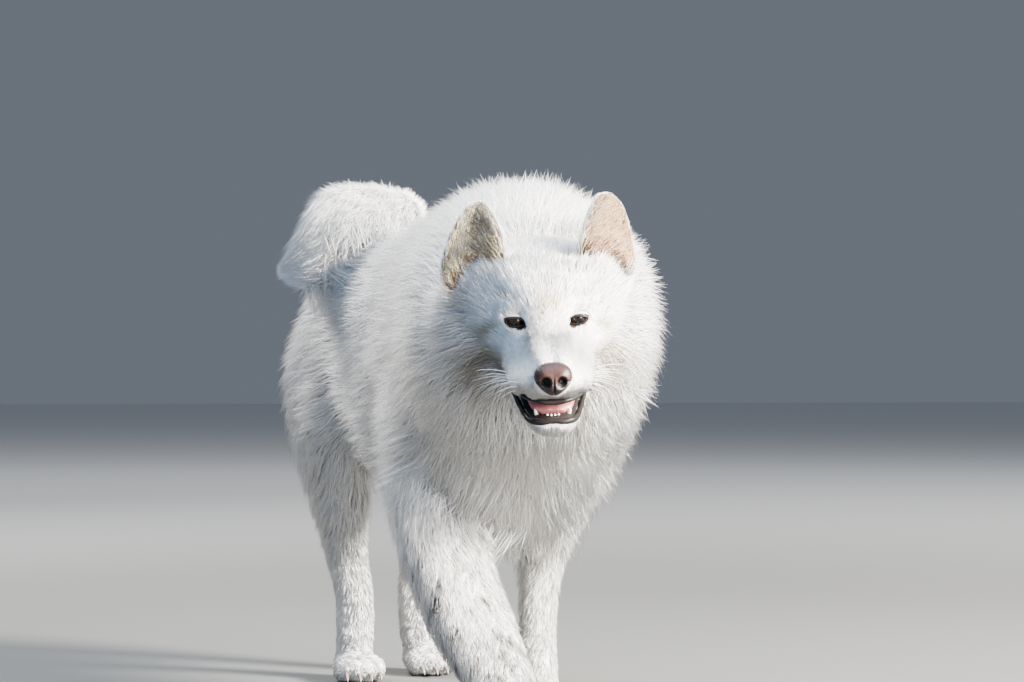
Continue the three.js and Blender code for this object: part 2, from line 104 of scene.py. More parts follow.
HEAD = [
    (0, -97, -33, 12, 8, 10, 0), (0, -88, -34, 27, 18, 19, 0.15), (0, -66, -34, 36, 24, 22, 0.3),
    (0, -46, -33, 40, 23, 24, 0.42), (0, -26, -30, 42, 23, 28, 0.46), (0, -9, -21, 44, 25, 40, 0.46),
    (0, 9, -12, 56, 40, 54, 0.32), (0, 34, -4, 76, 58, 68, 0.1), (0, 64, -2, 94, 72, 78, 0),
    (0, 94, -4, 92, 68, 76, 0), (0, 120, -8, 72, 50, 58, 0), (0, 136, -10, 30, 24, 28, 0),
]
JAW = [
    (0, -84, -81, 12, 6, 8, 0), (0, -77, -82, 21, 11, 13, -0.1), (0, -58, -81, 27, 12, 16, -0.15),
    (0, -34, -76, 33, 14, 20, -0.15), (0, -6, -67, 40, 20, 24, -0.1), (0, 26, -58, 44, 24, 26, 0),
    (0, 48, -54, 28, 14, 16, 0),
]
TONGUE = [
    (0, -71, -72, 12, 4, 3), (0, -64, -69, 20, 6, 4), (0, -42, -64, 24, 7, 4),
    (0, -24, -58, 23, 7, 4), (0, -14, -55, 11, 3, 3),
]
RIGHT_EAR = [
    (-62, 68, 8, 26, 9, 9), (-64, 62, 32, 34, 8, 6), (-64, 60, 56, 31, 5, 4),
    (-63, 62, 77, 24, 4, 3.5), (-62, 65, 94, 14, 3.5, 3), (-61, 67, 104, 6, 2.5, 2.5),
]
LEFT_EAR = [
    (58, 68, 14, 25, 9, 9), (59, 62, 38, 30, 8, 6), (61, 60, 62, 27, 5, 4),
    (64, 62, 84, 21, 4, 3.5), (66, 65, 99, 14, 3.5, 3), (68, 67, 107, 7, 2.5, 2.5),
]


def head_matrix():
    """The head's place: rolled about Y, pitched about X, then yawed about Z, and set between the eyes."""
    turn = Matrix.Rotation(math.radians(HEAD_YAW), 4, "Z")
    turn = turn @ Matrix.Rotation(math.radians(HEAD_PITCH), 4, "X")
    turn = turn @ Matrix.Rotation(math.radians(HEAD_ROLL), 4, "Y")
    at = Vector(HEAD_AT) + Vector(BODY_SHIFT)
    return np.array(Matrix.Translation(at * MM) @ turn)


ON_BODY = np.array(Matrix.Translation(Vector(BODY_SHIFT) * MM))
ON_HEAD = head_matrix()
DOWN = np.array([0.0, 0.0, -1.0])
BACK = np.array([0.0, 1.0, 0.0])


def placed(points, place):
    """Points in metres, moved by a 4x4 matrix."""
    return points @ place[:3, :3].T + place[:3, 3]


def in_head(points):
    """Points of the dog's frame in the head's own frame, in millimetres."""
    return (points - ON_HEAD[:3, 3]) @ ON_HEAD[:3, :3] / MM


def unit(v):
    """Vectors drawn out or in to a length of 1."""
    return v / np.maximum(np.linalg.norm(v, axis=-1, keepdims=True), 1e-9)


def dot(a, b):
    """The dot product of each pair of vectors, as a column."""
    return (a * b).sum(-1, keepdims=True)


def circle(count):
    """Even angles round a circle, from 0."""
    return np.linspace(0, 2 * math.pi, count, endpoint=False)


def smooth(x, low, high):
    """0 below low, 1 above high, and an even S between them."""
    s = np.clip((x - low) / (high - low), 0, 1)
    return s * s * (3 - 2 * s)


def curve(points, t):
    """Uniform Catmull-Rom curve through points, its ends reflected: place and slope at each t in 0..1."""
    ends = np.vstack([2 * points[:1] - points[1:2], points, 2 * points[-1:] - points[-2:-1]])
    s = np.clip(t, 0, 1) * (len(points) - 1)
    i = np.minimum(s.astype(int), len(points) - 2)
    w = (s - i)[..., None]
    a, b, c, d = ends[i], ends[i + 1], ends[i + 2], ends[i + 3]
    m, n = (c - a) / 2, (d - b) / 2
    place = (2 * w**3 - 3 * w**2 + 1) * b + (w**3 - 2 * w**2 + w) * m
    place += (3 * w**2 - 2 * w**3) * c + (w**3 - w**2) * n
    slope = (6 * w**2 - 6 * w) * (b - c) + (3 * w**2 - 4 * w + 1) * m + (3 * w**2 - 2 * w) * n
    return place, slope


class Form:
    """A smooth body along a spine through its stations. Its section is a super-ellipse of half width
    and reach up or down, leant to one side by height, and bent by its cup times the square of the width."""

    def __init__(self, stations, squareness=2.2, side=(1, 0, 0), cup=None, place=ON_BODY):
        rows = np.array([tuple(s) + (0,) * (7 - len(s)) for s in stations], float)
        self.spine = placed(rows[:, :3] * MM, place)
        self.girth = rows[:, 3:6] * MM
        self.lean = rows[:, 6:7]
        self.side = unit(np.array(side, float)) @ place[:3, :3].T
        self.power = squareness
        self.cup = cup

    def frame(self, t):
        """At t along the spine: its centre, and the ways along it, across it and up out of it."""
        centre, slope = curve(self.spine, t)
        along = unit(slope)
        across = unit(self.side - along * dot(self.side, along))
        return centre, along, across, np.cross(across, along)

    def surface(self, t, angle, inset=0.0, reach=1.0):
        """The point at t along the spine and at an angle round it, 0 being up, moved in by inset."""
        t, angle, inset, reach = np.broadcast_arrays(t, angle, inset, reach)
        centre, _, across, out = self.frame(t)
        size = curve(self.girth, t)[0]
        lean = curve(self.lean, t)[0][..., 0]
        w = np.sign(np.sin(angle)) * np.abs(np.sin(angle)) ** (2 / self.power)
        h = np.sign(np.cos(angle)) * np.abs(np.cos(angle)) ** (2 / self.power)
        half = np.maximum(size[..., 0] - inset, 0.002) * (1 - lean * h)
        rise = np.maximum(np.where(h > 0, size[..., 1], size[..., 2]) - inset, 0.002)
        bend = self.cup(t) * MM * w * w if self.cup else 0
        place = centre + across * (half * w * reach)[..., None]
        return place + out * ((rise * h - bend) * reach)[..., None]

    def near(self, points, slices=90):
        """For each point: t of the nearest place on the spine, angle round it, the section's value there
        (1 on the outline), its mean reach, and the way along the spine."""
        ts = np.linspace(0, 1, slices)
        centres = self.frame(ts)[0]
        far = (points**2).sum(1)[:, None] + (centres**2).sum(1) - 2 * points @ centres.T
        t = ts[far.argmin(1)]
        centre, along, across, out = self.frame(t)
        size = curve(self.girth, t)[0]
        off = points - centre
        w = dot(off, across)[:, 0] / size[:, 0]
        h = dot(off, out)[:, 0]
        if self.cup:
            h = h + self.cup(t) * MM * np.clip(w, -1.2, 1.2) ** 2
        h = h / np.where(h > 0, size[:, 1], size[:, 2])
        w = w / (1 - curve(self.lean, t)[0][:, 0] * np.clip(h, -1, 1))
        ahead = dot(off, along)[:, 0] / size.mean(1)
        value = (np.abs(w) ** self.power + np.abs(h) ** self.power + ahead**2) ** (1 / self.power)
        return t, np.arctan2(w, h), value, size.mean(1), along


def mirrored(stations, dy=0):
    """Stations on the other side of the dog, moved back by dy."""
    return [(-x, y + dy, z, *size) for x, y, z, *size in stations]


def ear_cup(t):
    """How far an ear's edges bend forwards from its middle in millimetres, as a negative number."""
    return -17 * (1 - t) * np.minimum(1, 0.4 + 3 * t)


FORMS = {
    "head": Form(HEAD, 2.15, place=ON_HEAD),
    "jaw": Form(JAW, 2.3, place=ON_HEAD),
    "ear_right": Form(RIGHT_EAR, side=(1, -0.28, 0), cup=ear_cup, place=ON_HEAD),
    "ear_left": Form(LEFT_EAR, side=(1, 0.28, 0), cup=ear_cup, place=ON_HEAD),
    "neck": Form(NECK, 2.1),
    "torso": Form(TORSO, 2.3),
    "tail": Form(TAIL, side=(1, 0.25, 0)),
    "foreleg_left": Form(LEFT_FORELEG),
    "foreleg_right": Form(RIGHT_FORELEG),
    "thigh_right": Form(THIGH),
    "thigh_left": Form(mirrored(THIGH, 40)),
}

# Depth in millimetres of the skin below the coat's outline, along each form
SKIN_DEPTH = {
    "head": ([0, 0.3, 0.45, 0.55, 0.65, 0.78, 1], [1.8, 2.4, 3.4, 6, 11, 17, 20]),
    "jaw": ([0, 0.4, 1], [1.5, 3, 7]),
    "ear": ([0, 1], [1.2, 0.6]),
    "neck": ([0, 1], [32, 32]),
    "torso": ([0, 0.08, 1], [24, 27, 27]),
    "tail": ([0, 1], [18, 8]),
    "foreleg": ([0, 0.5, 0.85, 1], [15, 13, 7, 6]),
    "thigh": ([0, 0.45, 0.62, 1], [22, 20, 8, 6]),
}


def skin_depth(name, t):
    """How deep the skin lies below a form's outline, in metres."""
    ts, depth = SKIN_DEPTH[name.split("_")[0]]
    return np.interp(t, ts, depth) * MM


def tube(rings):
    """Points and faces of a closed tube from rings of points, each end closed on a middle point."""
    count, sides = rings.shape[:2]
    points = np.vstack([rings.reshape(-1, 3), rings[:1].mean(1), rings[-1:].mean(1)])
    row = np.arange(count - 1)[:, None] * sides
    j = np.arange(sides)
    k = (j + 1) % sides
    quads = np.stack([row + j, row + k, row + sides + k, row + sides + j], -1).reshape(-1, 4)
    last = (count - 1) * sides
    start = np.stack([np.full(sides, count * sides), k, j], 1)
    end = np.stack([np.full(sides, count * sides + 1), last + j, last + k], 1)
    return points, quads.tolist() + start.tolist() + end.tolist()


def with_ends(steps):
    """Even steps along a form, with two more at each end whose rings are drawn in: t and reach."""
    t = np.concatenate([[0, 0], np.linspace(0, 1, steps), [1, 1]])
    reach = np.concatenate([[0.3, 0.7], np.ones(steps), [0.7, 0.3]])
    return t, reach


def loft(name, sides, steps):
    """The closed tube of a form's skin: its surface moved in by the coat's depth, ends drawn in evenly.
    An ear is rounded to its tip, as a quarter of an ellipse."""
    t, reach = with_ends(steps)
    if name.startswith("ear"):
        reach = reach * np.sqrt(1 - 0.95 * np.clip((t - 0.9) / 0.1, 0, 1) ** 2)
    inset = skin_depth(name, t)[:, None]
    return tube(FORMS[name].surface(t[:, None], circle(sides)[None], inset, reach[:, None]))


def cord(line, radius, sides, upright):
    """A closed round cord along a line: circles of each place's radius, square to the line's way."""
    way = unit(np.gradient(line, axis=0))
    side = unit(np.cross(way, upright))
    up = np.cross(side, way)
    b = circle(sides)[None, :, None]
    around = np.cos(b) * up[:, None] + np.sin(b) * side[:, None]
    return tube(line[:, None] + radius.reshape(-1, 1, 1) * around)


def ellipsoid(centre, radii, place, sides=32, rings=20):
    """Closed ellipsoid: rings of latitude round Z, each radius the sine of its angle from the pole."""
    lat = np.linspace(0.02, math.pi - 0.02, rings)[:, None]
    lon = circle(sides)[None]
    x = np.sin(lat) * np.cos(lon)
    y = np.sin(lat) * np.sin(lon)
    z = np.cos(lat) + 0 * lon
    points = np.stack([x, y, -z], -1) * np.array(radii) + np.array(centre)
    return tube(placed(points[:, ::-1] * MM, place))


def thing(name, points, faces, material=None):
    """A mesh object at the origin."""
    mesh = bpy.data.meshes.new(name)
    mesh.from_pydata(np.asarray(points).tolist(), [], faces)
    mesh.shade_smooth()
    obj = bpy.data.objects.new(name, mesh)
    bpy.context.collection.objects.link(obj)
    if material:
        mesh.materials.append(material)
    return obj


def fused(name, shapes, material=None):
    """One object that holds several closed shapes."""
    points, faces, start = [], [], 0
    for shape_points, shape_faces in shapes:
        points.append(shape_points)
        faces += [[i + start for i in face] for face in shape_faces]
        start += len(shape_points)
    return thing(name, np.vstack(points), faces, material)


def finished(obj):
    """Puts the result of an object's modifiers into its mesh."""
    graph = bpy.context.evaluated_depsgraph_get()
    mesh = bpy.data.meshes.new_from_object(obj.evaluated_get(graph))
    old = obj.data
    obj.modifiers.clear()
    obj.data = mesh
    bpy.data.meshes.remove(old)
    return obj


def remeshed(obj, voxel, rounds):
    """One even skin over everything in obj, then smoothed."""
    shell = obj.modifiers.new("shell", "REMESH")
    shell.mode = "VOXEL"
    shell.voxel_size = voxel * MM
    soften = obj.modifiers.new("soften", "SMOOTH")
    soften.factor = 0.5
    soften.iterations = rounds
    return finished(obj)


def boolean(obj, other, operation):
    """Joins other to obj or cuts it out, and removes it."""
    step = obj.modifiers.new("step", "BOOLEAN")
    step.operation = operation
    step.solver = "MANIFOLD"
    step.object = other
    finished(obj)
    mesh = other.data
    bpy.data.objects.remove(other)
    bpy.data.meshes.remove(mesh)
    return obj


def almond(angle, grow):
    """The edge of the eye's opening seen from in front, widened by grow: half a width, a reach up and one
    down, tilted."""
    x = np.cos(angle) * (LID["half"] + grow)
    z = np.sin(angle) * np.where(np.sin(angle) > 0, LID["up"] + grow, LID["down"] + grow) + LID["tilt"] * x
    return x, z


def lid_ring(s, radius, grow, lift, material=None):
    """A closed ring of skin round the eye's opening. It lies on a ball larger than the eye by lift, that
    bends back less to the sides, least towards the nose. s is the side, grow widens the opening, and the
    ring's section is a circle of that radius."""
    steps, sides = 72, 12
    a, b = circle(steps)[:, None], circle(sides)[None]
    x, z = almond(a, np.cos(b) * radius + grow)
    dx = x + LID["shift"]
    flat = np.where(dx < 0, *LID["flat"])
    reach = np.sqrt(np.maximum((EYE["radius"] + lift) ** 2 - flat * dx**2 - z**2, 4))
    points = np.stack([s * (EYE["x"] + dx), EYE["y"] - reach - np.sin(b) * radius, EYE["z"] + z], -1)
    row, j = np.arange(steps)[:, None], np.arange(sides)[None]
    up, k = (row + 1) % steps, (j + 1) % sides
    faces = np.stack([row * sides + j, up * sides + j, up * sides + k, row * sides + k], -1).reshape(-1, 4)
    name = "lid_rim_right" if s < 0 else "lid_rim_left"
    return thing(name, placed(points.reshape(-1, 3) * MM, ON_HEAD), faces[:, ::s].tolist(), material)


def eye_plug(s):
    """A block with the outline of the eye's opening, from inside the eye to in front of the face."""
    x, z = almond(circle(48), 1)
    x = s * (EYE["x"] + LID["shift"] + x)
    rings = np.array([np.stack([x, np.full_like(x, y), EYE["z"] + z], 1) for y in (2, -40)])
    return thing("plug", *tube(placed(rings[::s] * MM, ON_HEAD)))


def paw_place(name):
    """Where a paw stands and which way it points, as a 4x4 matrix."""
    x, y, turn = PAW_AT[name]
    at = Matrix.Translation((Vector((x, y, 0)) + Vector(BODY_SHIFT)) * MM)
    return np.array(at @ Matrix.Rotation(math.radians(turn), 4, "Z"))


def paw_shapes(name):
    """A paw as ellipsoids in shares of its size: its pad with the root of the leg, and four toes."""
    place = paw_place(name)
    length, width = PAW["length"], PAW["width"]
    shapes = [ellipsoid((0, 0.08 * length, 19), (0.40 * width, 0.37 * length, 20), place)]
    for side in TOES:
        inner = 1 - abs(side)
        centre = (side * width * 0.33, -length * (0.15 + 0.16 * inner), 16)
        shapes.append(ellipsoid(centre, (0.15 * width, 0.25 * length, 14), place, 24, 16))
    return shapes


def sole_cut():
    """A slab whose top is the floor."""
    points = np.array([(x, y, z) for x in (-1, 1) for y in (-1, 1) for z in (-0.2, 0.0)])
    faces = [[0, 1, 3, 2], [4, 6, 7, 5], [0, 4, 5, 1], [2, 3, 7, 6], [0, 2, 6, 4], [1, 5, 7, 3]]
    return thing("sole_cut", points, faces)


# Swellings of the head under its fur: centre and three half sizes, in the head's frame, in millimetres.
# They are the flews, the cheeks below the eyes, the bridge and the two parts of the brow.
SWELLS = [
    ((12, -76, -47), (13, 16, 11)),
    ((27, -50, -44), (14, 27, 15)),
    ((8, -44, -21), (16, 48, 13)),
    ((24, 16, 14), (20, 14, 9)),
    ((18, 34, 30), (26, 26, 14)),
]
# Voxel of each part's remesh in millimetres, and rounds of smoothing
BODY_MESH, HEAD_MESH, PAW_MESH = (6.5, 8), (1.9, 16), (2.6, 4)


def make_skin(material):
    """One skin over the whole dog: body, head and paws remeshed each as fine as it shows, then joined."""
    body = fused("skin", [loft(n, 48, 40) for n in FORMS if n.split("_")[0] not in ("head", "jaw", "ear")])
    remeshed(body, *BODY_MESH)
    shapes = [loft("head", 96, 90), loft("jaw", 72, 60)]
    shapes += [ellipsoid((s * x, y, z), radii, ON_HEAD) for (x, y, z), radii in SWELLS for s in (-1, 1)]
    head = remeshed(fused("head_skin", shapes), *HEAD_MESH)
    for side, s in SIDES.items():
        boolean(head, eye_plug(s), "DIFFERENCE")
        boolean(head, lid_ring(s, 2.2, 3.0, -1.0), "UNION")
        boolean(head, thing("ear", *loft("ear_" + side, 64, 50)), "UNION")
    boolean(body, head, "UNION")
    for name in PAW_AT:
        boolean(body, remeshed(fused(name, paw_shapes(name)), *PAW_MESH), "UNION")
    boolean(body, sole_cut(), "DIFFERENCE")
    body.data.shade_smooth()
    body.data.materials.clear()
    body.data.materials.append(material)
    return body


def arrays(mesh):
    """Points, normals and triangles of a mesh."""
    points = np.empty(len(mesh.vertices) * 3)
    mesh.vertices.foreach_get("co", points)
    normals = np.empty(len(mesh.vertices) * 3)
    mesh.vertices.foreach_get("normal", normals)
    mesh.calc_loop_triangles()
    triangles = np.empty(len(mesh.loop_triangles) * 3, np.int32)
    mesh.loop_triangles.foreach_get("vertices", triangles)
    return points.reshape(-1, 3), normals.reshape(-1, 3), triangles.reshape(-1, 3)


# The coat in millimetres at each t along a form: length of a tuft, its width, and its height at the tip.
# hang and back turn its lie to the ground and the tail, and layers is how many lie over one another.
COAT = {
    "head": {"t": [0, 0.12, 0.3, 0.45, 0.55, 0.65, 0.78, 1], "length": [6, 8, 10, 13, 19, 30, 44, 54],
             "height": [1.7, 2.3, 3.0, 4.2, 6.5, 10, 16, 22], "hang": 0.1,
             "width": [0.9, 1.1, 1.3, 1.3, 1.1, 1.0, 1.0, 1.0], "layers": 4},
    "jaw": {"t": [0, 0.15, 0.3, 1], "length": [10, 13, 18, 32], "height": [3.2, 4.2, 5.5, 12],
            "hang": 0.5, "width": 1.1, "layers": 4},
    "ear": {"t": [0, 0.5, 1], "length": [22, 17, 12], "height": [4.5, 3.8, 3.4], "hang": 0, "width": 0.8,
            "layers": 4},
    "neck": {"t": [0, 0.2, 0.5, 1], "length": [62, 84, 96, 95], "height": [27, 32, 31, 30],
             "hang": 0.45, "width": 1.05, "layers": 7},
    "torso": {"t": [0, 0.5, 1], "length": [86, 72, 80], "height": [25, 25, 26], "hang": 0.45,
              "width": 1.4, "layers": 6},
    "tail": {"t": [0, 0.2, 0.75, 0.9, 1], "length": [60, 88, 100, 96, 88], "height": [15, 19, 18, 16, 12],
             "hang": [0.1, 0.2, 0.3, -0.1, -0.6], "width": 1.1, "layers": 8},
    "foreleg": {"t": [0, 0.4, 0.7, 1], "length": [56, 34, 17, 10], "height": [14, 10, 5, 3.2],
                "hang": 0, "back": 0.45, "width": 0.9, "layers": 4},
    "thigh": {"t": [0, 0.35, 0.6, 1], "length": [70, 70, 24, 11], "height": [20, 19, 7, 3.5],
              "hang": 0, "back": 0.45, "width": 1.5, "layers": 5},
}
SIZES = ("length", "height", "width")
BLEND = 0.016
ATLAS, MARGIN = 4, 0.04


def coat_sizes(name, t, angle):
    """Length, height and width of a form's tufts in metres: longer and higher on the cheeks."""
    coat = COAT[name.split("_")[0]]
    sizes = {k: np.interp(t, coat["t"], np.broadcast_to(coat[k], len(coat["t"]))) * MM for k in SIZES}
    if name == "head":
        cheek = smooth(t, 0.48, 0.7) * smooth(np.abs(np.sin(angle)), 0.3, 0.9)
        sizes["length"] = sizes["length"] * (1 + 0.55 * cheek)
        sizes["height"] = sizes["height"] * (1 + 0.25 * cheek)
    return sizes


def coat_way(name, t, angle, along):
    """Which way a form's coat lies: along it, turned by hang and back, down at the upper lips, and out to
    the edge on the inside of an ear."""
    coat = COAT[name.split("_")[0]]
    hang = np.interp(t, coat["t"], np.broadcast_to(coat["hang"], len(coat["t"])))
    way = along + hang[:, None] * DOWN + coat.get("back", 0) * BACK
    if name == "head":
        lips = smooth(np.cos(angle), 0.1, -0.5) * smooth(t, 0.5, 0.35)
        way = way + 0.9 * lips[:, None] * DOWN
    if name.startswith("ear"):
        s = SIDES[name.split("_")[1]]
        inside = smooth(np.cos(angle), -0.2, 0.6) * smooth(s * np.sin(angle), 0.7, -0.1)
        way = way + inside[:, None] * FORMS[name].side * s * 0.9
    return unit(way)


def coat_fields(points, normals):
    """At each point of the skin: the coat's lie, length, height, width and layers, blended over the
    forms by how near each one's skin is, the nearest form, and the point's place on an atlas with one
    cell for each form, along it and round it. Round the eyes the coat is shorter and flatter."""
    names = list(FORMS)
    total = np.zeros(len(points))
    lie = np.zeros_like(points)
    fields = {key: np.zeros(len(points)) for key in (*SIZES, "layers")}
    best = np.full(len(points), np.inf)
    nearest = np.zeros(len(points), int)
    atlas = np.zeros((len(points), 2))
    for i, name in enumerate(names):
        t, angle, value, reach, along = FORMS[name].near(points)
        away = np.abs((value - 1) * reach + skin_depth(name, t))
        weight = np.exp(-((away / BLEND) ** 1.5)) + 1e-12 / (away + 1e-4)
        lie += weight[:, None] * coat_way(name, t, angle, along)
        total += weight
        for key, sizes in coat_sizes(name, t, angle).items():
            fields[key] += weight * sizes
        fields["layers"] += weight * COAT[name.split("_")[0]]["layers"]
        closer = away < best
        best = np.where(closer, away, best)
        nearest[closer] = i
        cell = np.stack([t, angle / (2 * math.pi) + 0.5], 1) * (1 - 2 * MARGIN) + MARGIN
        atlas[closer] = ((cell + (i % ATLAS, i // ATLAS)) / ATLAS)[closer]
    lie = lie / total[:, None]
    lie = unit(lie - normals * dot(lie, normals))
    for key in fields:
        fields[key] /= total
    x, y, z = in_head(points).T
    eye = np.exp(-(((np.abs(x) - EYE["x"] - 1) / 19) ** 2) - ((z - EYE["z"]) / 13) ** 2) * (y < 14)
    for key, less in zip(SIZES, (0.6, 0.66, 0.35)):
        fields[key] *= 1 - less * eye
    fields.update(lie=lie, nearest=np.array(names)[nearest], atlas=atlas)
    return fields


def waves(points, scale, seed):
    """A smooth noise from -1 to 1: sines of slanted waves of about that length, in metres."""
    random = np.random.default_rng(seed)
    ways = unit(random.normal(size=(7, 3))) * (2 * math.pi / scale) * random.uniform(0.6, 1.6, (7, 1))
    return np.sin(points @ ways.T + random.uniform(0, 2 * math.pi, 7)).mean(1) * 1.6


def eye_reach(x, z, more):
    """How far a place is from the middle of the eye's opening, 1 at more millimetres outside its edge."""
    dx = np.abs(x) - EYE["x"] - LID["shift"]
    dz = z - EYE["z"] - LID["tilt"] * dx
    return np.hypot(dx / (LID["half"] + more), dz / (LID["up"] + more))


def kept_clear(points):
    """Whether places lie in front of an eye or on the nose, where no tuft may reach."""
    x, y, z = in_head(points).T
    eye = (eye_reach(x, z, 1.1) < 1) & (y < EYE["back"])
    nose = (np.abs(x) / 17) ** 2 + ((z - NOSE["z"]) / 14.5) ** 2 + ((y - NOSE["y"] + 4) / 13) ** 2 < 1
    return eye | nose


def bare_places(points, normals, nearest):
    """Where no fur grows, and the dark skin as 0 or 1. Palate and floor of the mouth are both, and are
    told by which way they face. The lids are dark, and eyes, nose and soles are bare."""
    x, y, z = in_head(points).T
    facing_up = normals @ ON_HEAD[:3, 2]
    palate = (nearest == "head") & (facing_up < -0.55) & (y < 0) & (z < -48)
    mouth = palate | (nearest == "jaw") & (facing_up > 0.45) & (y < 5)
    lids = (eye_reach(x, z, 1.7) < 1) & (y < EYE["back"])
    bare = kept_clear(points) | mouth | (points[:, 2] < 0.004)
    return bare, (mouth | lids).astype(float)


def ear_marks(points, nearest):
    """The streaked lining of the ears and the shadow over it, stronger at their roots and on the left."""
    inner, shadow = np.zeros(len(points)), np.zeros(len(points))
    drawn_out = points * (1, 1, 2.5)
    for name, darker in (("ear_right", 0.15), ("ear_left", 0.85)):
        t, angle, value, _, _ = FORMS[name].near(points)
        facing = smooth(np.cos(angle), -0.05, 0.55) * smooth(t, 0.0, 0.12)
        facing = facing * np.maximum(nearest == name, smooth(value, 1.6, 1.1))
        inner = np.maximum(inner, np.minimum(1, facing * (1.5 + 0.3 * waves(drawn_out, 0.012, 31))))
        deep = facing * smooth(t, 0.65, 0.1) * smooth(waves(drawn_out, 0.02, 33), -0.6, 0.7)
        shadow = np.maximum(shadow, darker * facing + 0.4 * deep)
    return inner, shadow


def dirt_and_shade_marks(points, nearest):
    """Grey: dirty specks on the feet and the belly, and smudges down the right foreleg, partly painted
    shadow.
    """
    height = points[:, 2]
    speckle = smooth(waves(points, 0.035, 5) + 0.6 * waves(points, 0.012, 6), 0.1, 0.9)
    smudge = smooth(waves(points, 0.03, 7) + 0.8 * waves(points, 0.011, 6), -0.3, 0.75)
    feet = smooth(height, 0.2, 0.02) * (0.06 + 0.32 * speckle)
    # Painted shadow as well as grime: the grey smudges down the right foreleg
    foreleg = 0.95 * (nearest == "foreleg_right") * smooth(height, 0.27, 0.17) * smudge
    belly = 0.2 * smooth(height, 0.27, 0.2) * smooth(height, 0.1, 0.2) * speckle
    return np.maximum(np.maximum(feet, foreleg), belly)


# Soft spots of colour on the head, in its frame, in millimetres: middle and half sizes, x being the way
# out to either side, how much the middle climbs with the way out, the y at which the spot is gone and the
# one before which it is whole, and its shares of cream and brown. EVEN is a half size without an end.
# The brown at the corner of the mouth is painted shadow, and in the valley before the cheek, on the brow
# and in the slant behind the eye the brown is painted shade in the creases over the cream of the coat.
EVEN = math.inf
SPOTS = {
    "bridge": ((0, -5, 5), (15, 40, 30), 0, (150, 120), 0.25, 0),
    "corner of the mouth": ((42, 0, -52), (11, EVEN, 10), 0.4, (30, 10), 0, 0.95),
    "valley before the cheek": ((52, 0, -49), (12, EVEN, 18), 0, (70, 45), 1.0, 0.65),
    "brow": ((5, 0, 7), (7, EVEN, 9), -0.8, (60, 30), 0.75, 0.25),
    "slant behind the eye": ((49, 0, -15), (12, EVEN, 6), -0.75, (30, 10), 0.95, 0.4),
    "tear stain": ((20, 0, -11), (5, EVEN, 7), 0, (30, 10), 0.5, 0.25),
    "chin": ((0, -72, -84), (20, 14, 9), 0, (150, 120), 0, 0.3),
}


def markings(points, nearest):
    """The markings that skin and coat share, each from 0 to 1; the brown holds painted shade on the ears
    and in the creases of the face, and the grey painted shadow on the right foreleg. A spot falls off as e
    to the minus the squares of the distances from its middle over its half sizes."""
    x, y, z = in_head(points).T
    on_head = smooth(y, 150, 120) * smooth(np.abs(z), 190, 150)
    inner, brown = ear_marks(points, nearest)
    cream = 0.35 * inner + (0.12 + 0.08 * smooth(y, -20, -60)) * on_head
    # Each spot adds cream and brown; the brown in the creases and at the mouth's corners is painted shade
    for middle, half, climb, fade, pale, dark in SPOTS.values():
        out = np.abs(x) - middle[0]
        up = z - middle[2] - climb * out
        spot = np.exp(-((out / half[0]) ** 2) - ((y - middle[1]) / half[1]) ** 2 - (up / half[2]) ** 2)
        spot = spot * on_head * smooth(y, *fade)
        cream = cream + pale * spot
        brown = brown + dark * spot
    marks = {"inner": inner, "cream": cream, "brown": brown, "dirt_and_shade": dirt_and_shade_marks(points, nearest)}
    return {key: np.clip(values, 0, 1) for key, values in marks.items()}


MARKS = ("inner", "cream", "brown", "dirt_and_shade")


def write_values(mesh, name, values):
    """A number on each point of a mesh, for its material."""
    mesh.attributes.new(name, "FLOAT", "POINT").data.foreach_set("value", values.astype(np.float32))


def along_skin(skin, points, normals, height):
    """Points moved on to the skin's nearest place by a shrinkwrap, and up from it by height, the way that
    they lay from it and a little more along the normals of their roots."""
    probe = thing("probe", points, [])
    probe.data.vertices.foreach_set("co", points.ravel())
    wrap = probe.modifiers.new("wrap", "SHRINKWRAP")
    wrap.wrap_method = "NEAREST_SURFACEPOINT"
    wrap.wrap_mode = "ON_SURFACE"
    wrap.target = skin
    graph = bpy.context.evaluated_depsgraph_get()
    held = probe.evaluated_get(graph).data
    on = np.empty(len(points) * 3)
    held.vertices.foreach_get("co", on)
    on = on.reshape(-1, 3)
    mesh = probe.data
    bpy.data.objects.remove(probe)
    bpy.data.meshes.remove(mesh)
    up = points - on
    side = np.sign(dot(up, normals))
    up = np.where(np.linalg.norm(up, axis=1, keepdims=True) > 1e-4, unit(up) * side, normals)
    up = unit(up + 0.35 * normals)
    return on + up * height[:, None]


# How tufts vary: shares of their full length, from and to; how many are strays, with their height and
# width; mean and spread of their height; where knee and tip lie along the length, and the knee's height;
# how far the ridge stands up from half the width; in metres, the lowest point; and a tuft's atlas patch
LENGTHS = (0.72, 1.15)
STRAYS, STRAY_HEIGHT, STRAY_WIDTH = 0.03, 1.12, 0.6
RISE, RISE_SPREAD = 0.88, 0.14
KNEE_AT, TIP_AT, KNEE_RISE = 0.42, 0.95, 0.62
RIDGE = 0.55
ABOVE_FLOOR = 0.0005
PATCH = 0.003


def clump_leaders(point, clump, random):
    """For each tuft, the nearest of the leaders, which are drawn one for every clump of tufts."""
    count = len(point)
    leaders = random.choice(count, count // clump, replace=False)
    owner = np.empty(count, int)
    for start in range(0, count, 4000):
        part = slice(start, start + 4000)
        far = (point[leaders] ** 2).sum(1) - 2 * point[part] @ point[leaders].T
        owner[part] = leaders[far.argmin(1)]
    return owner


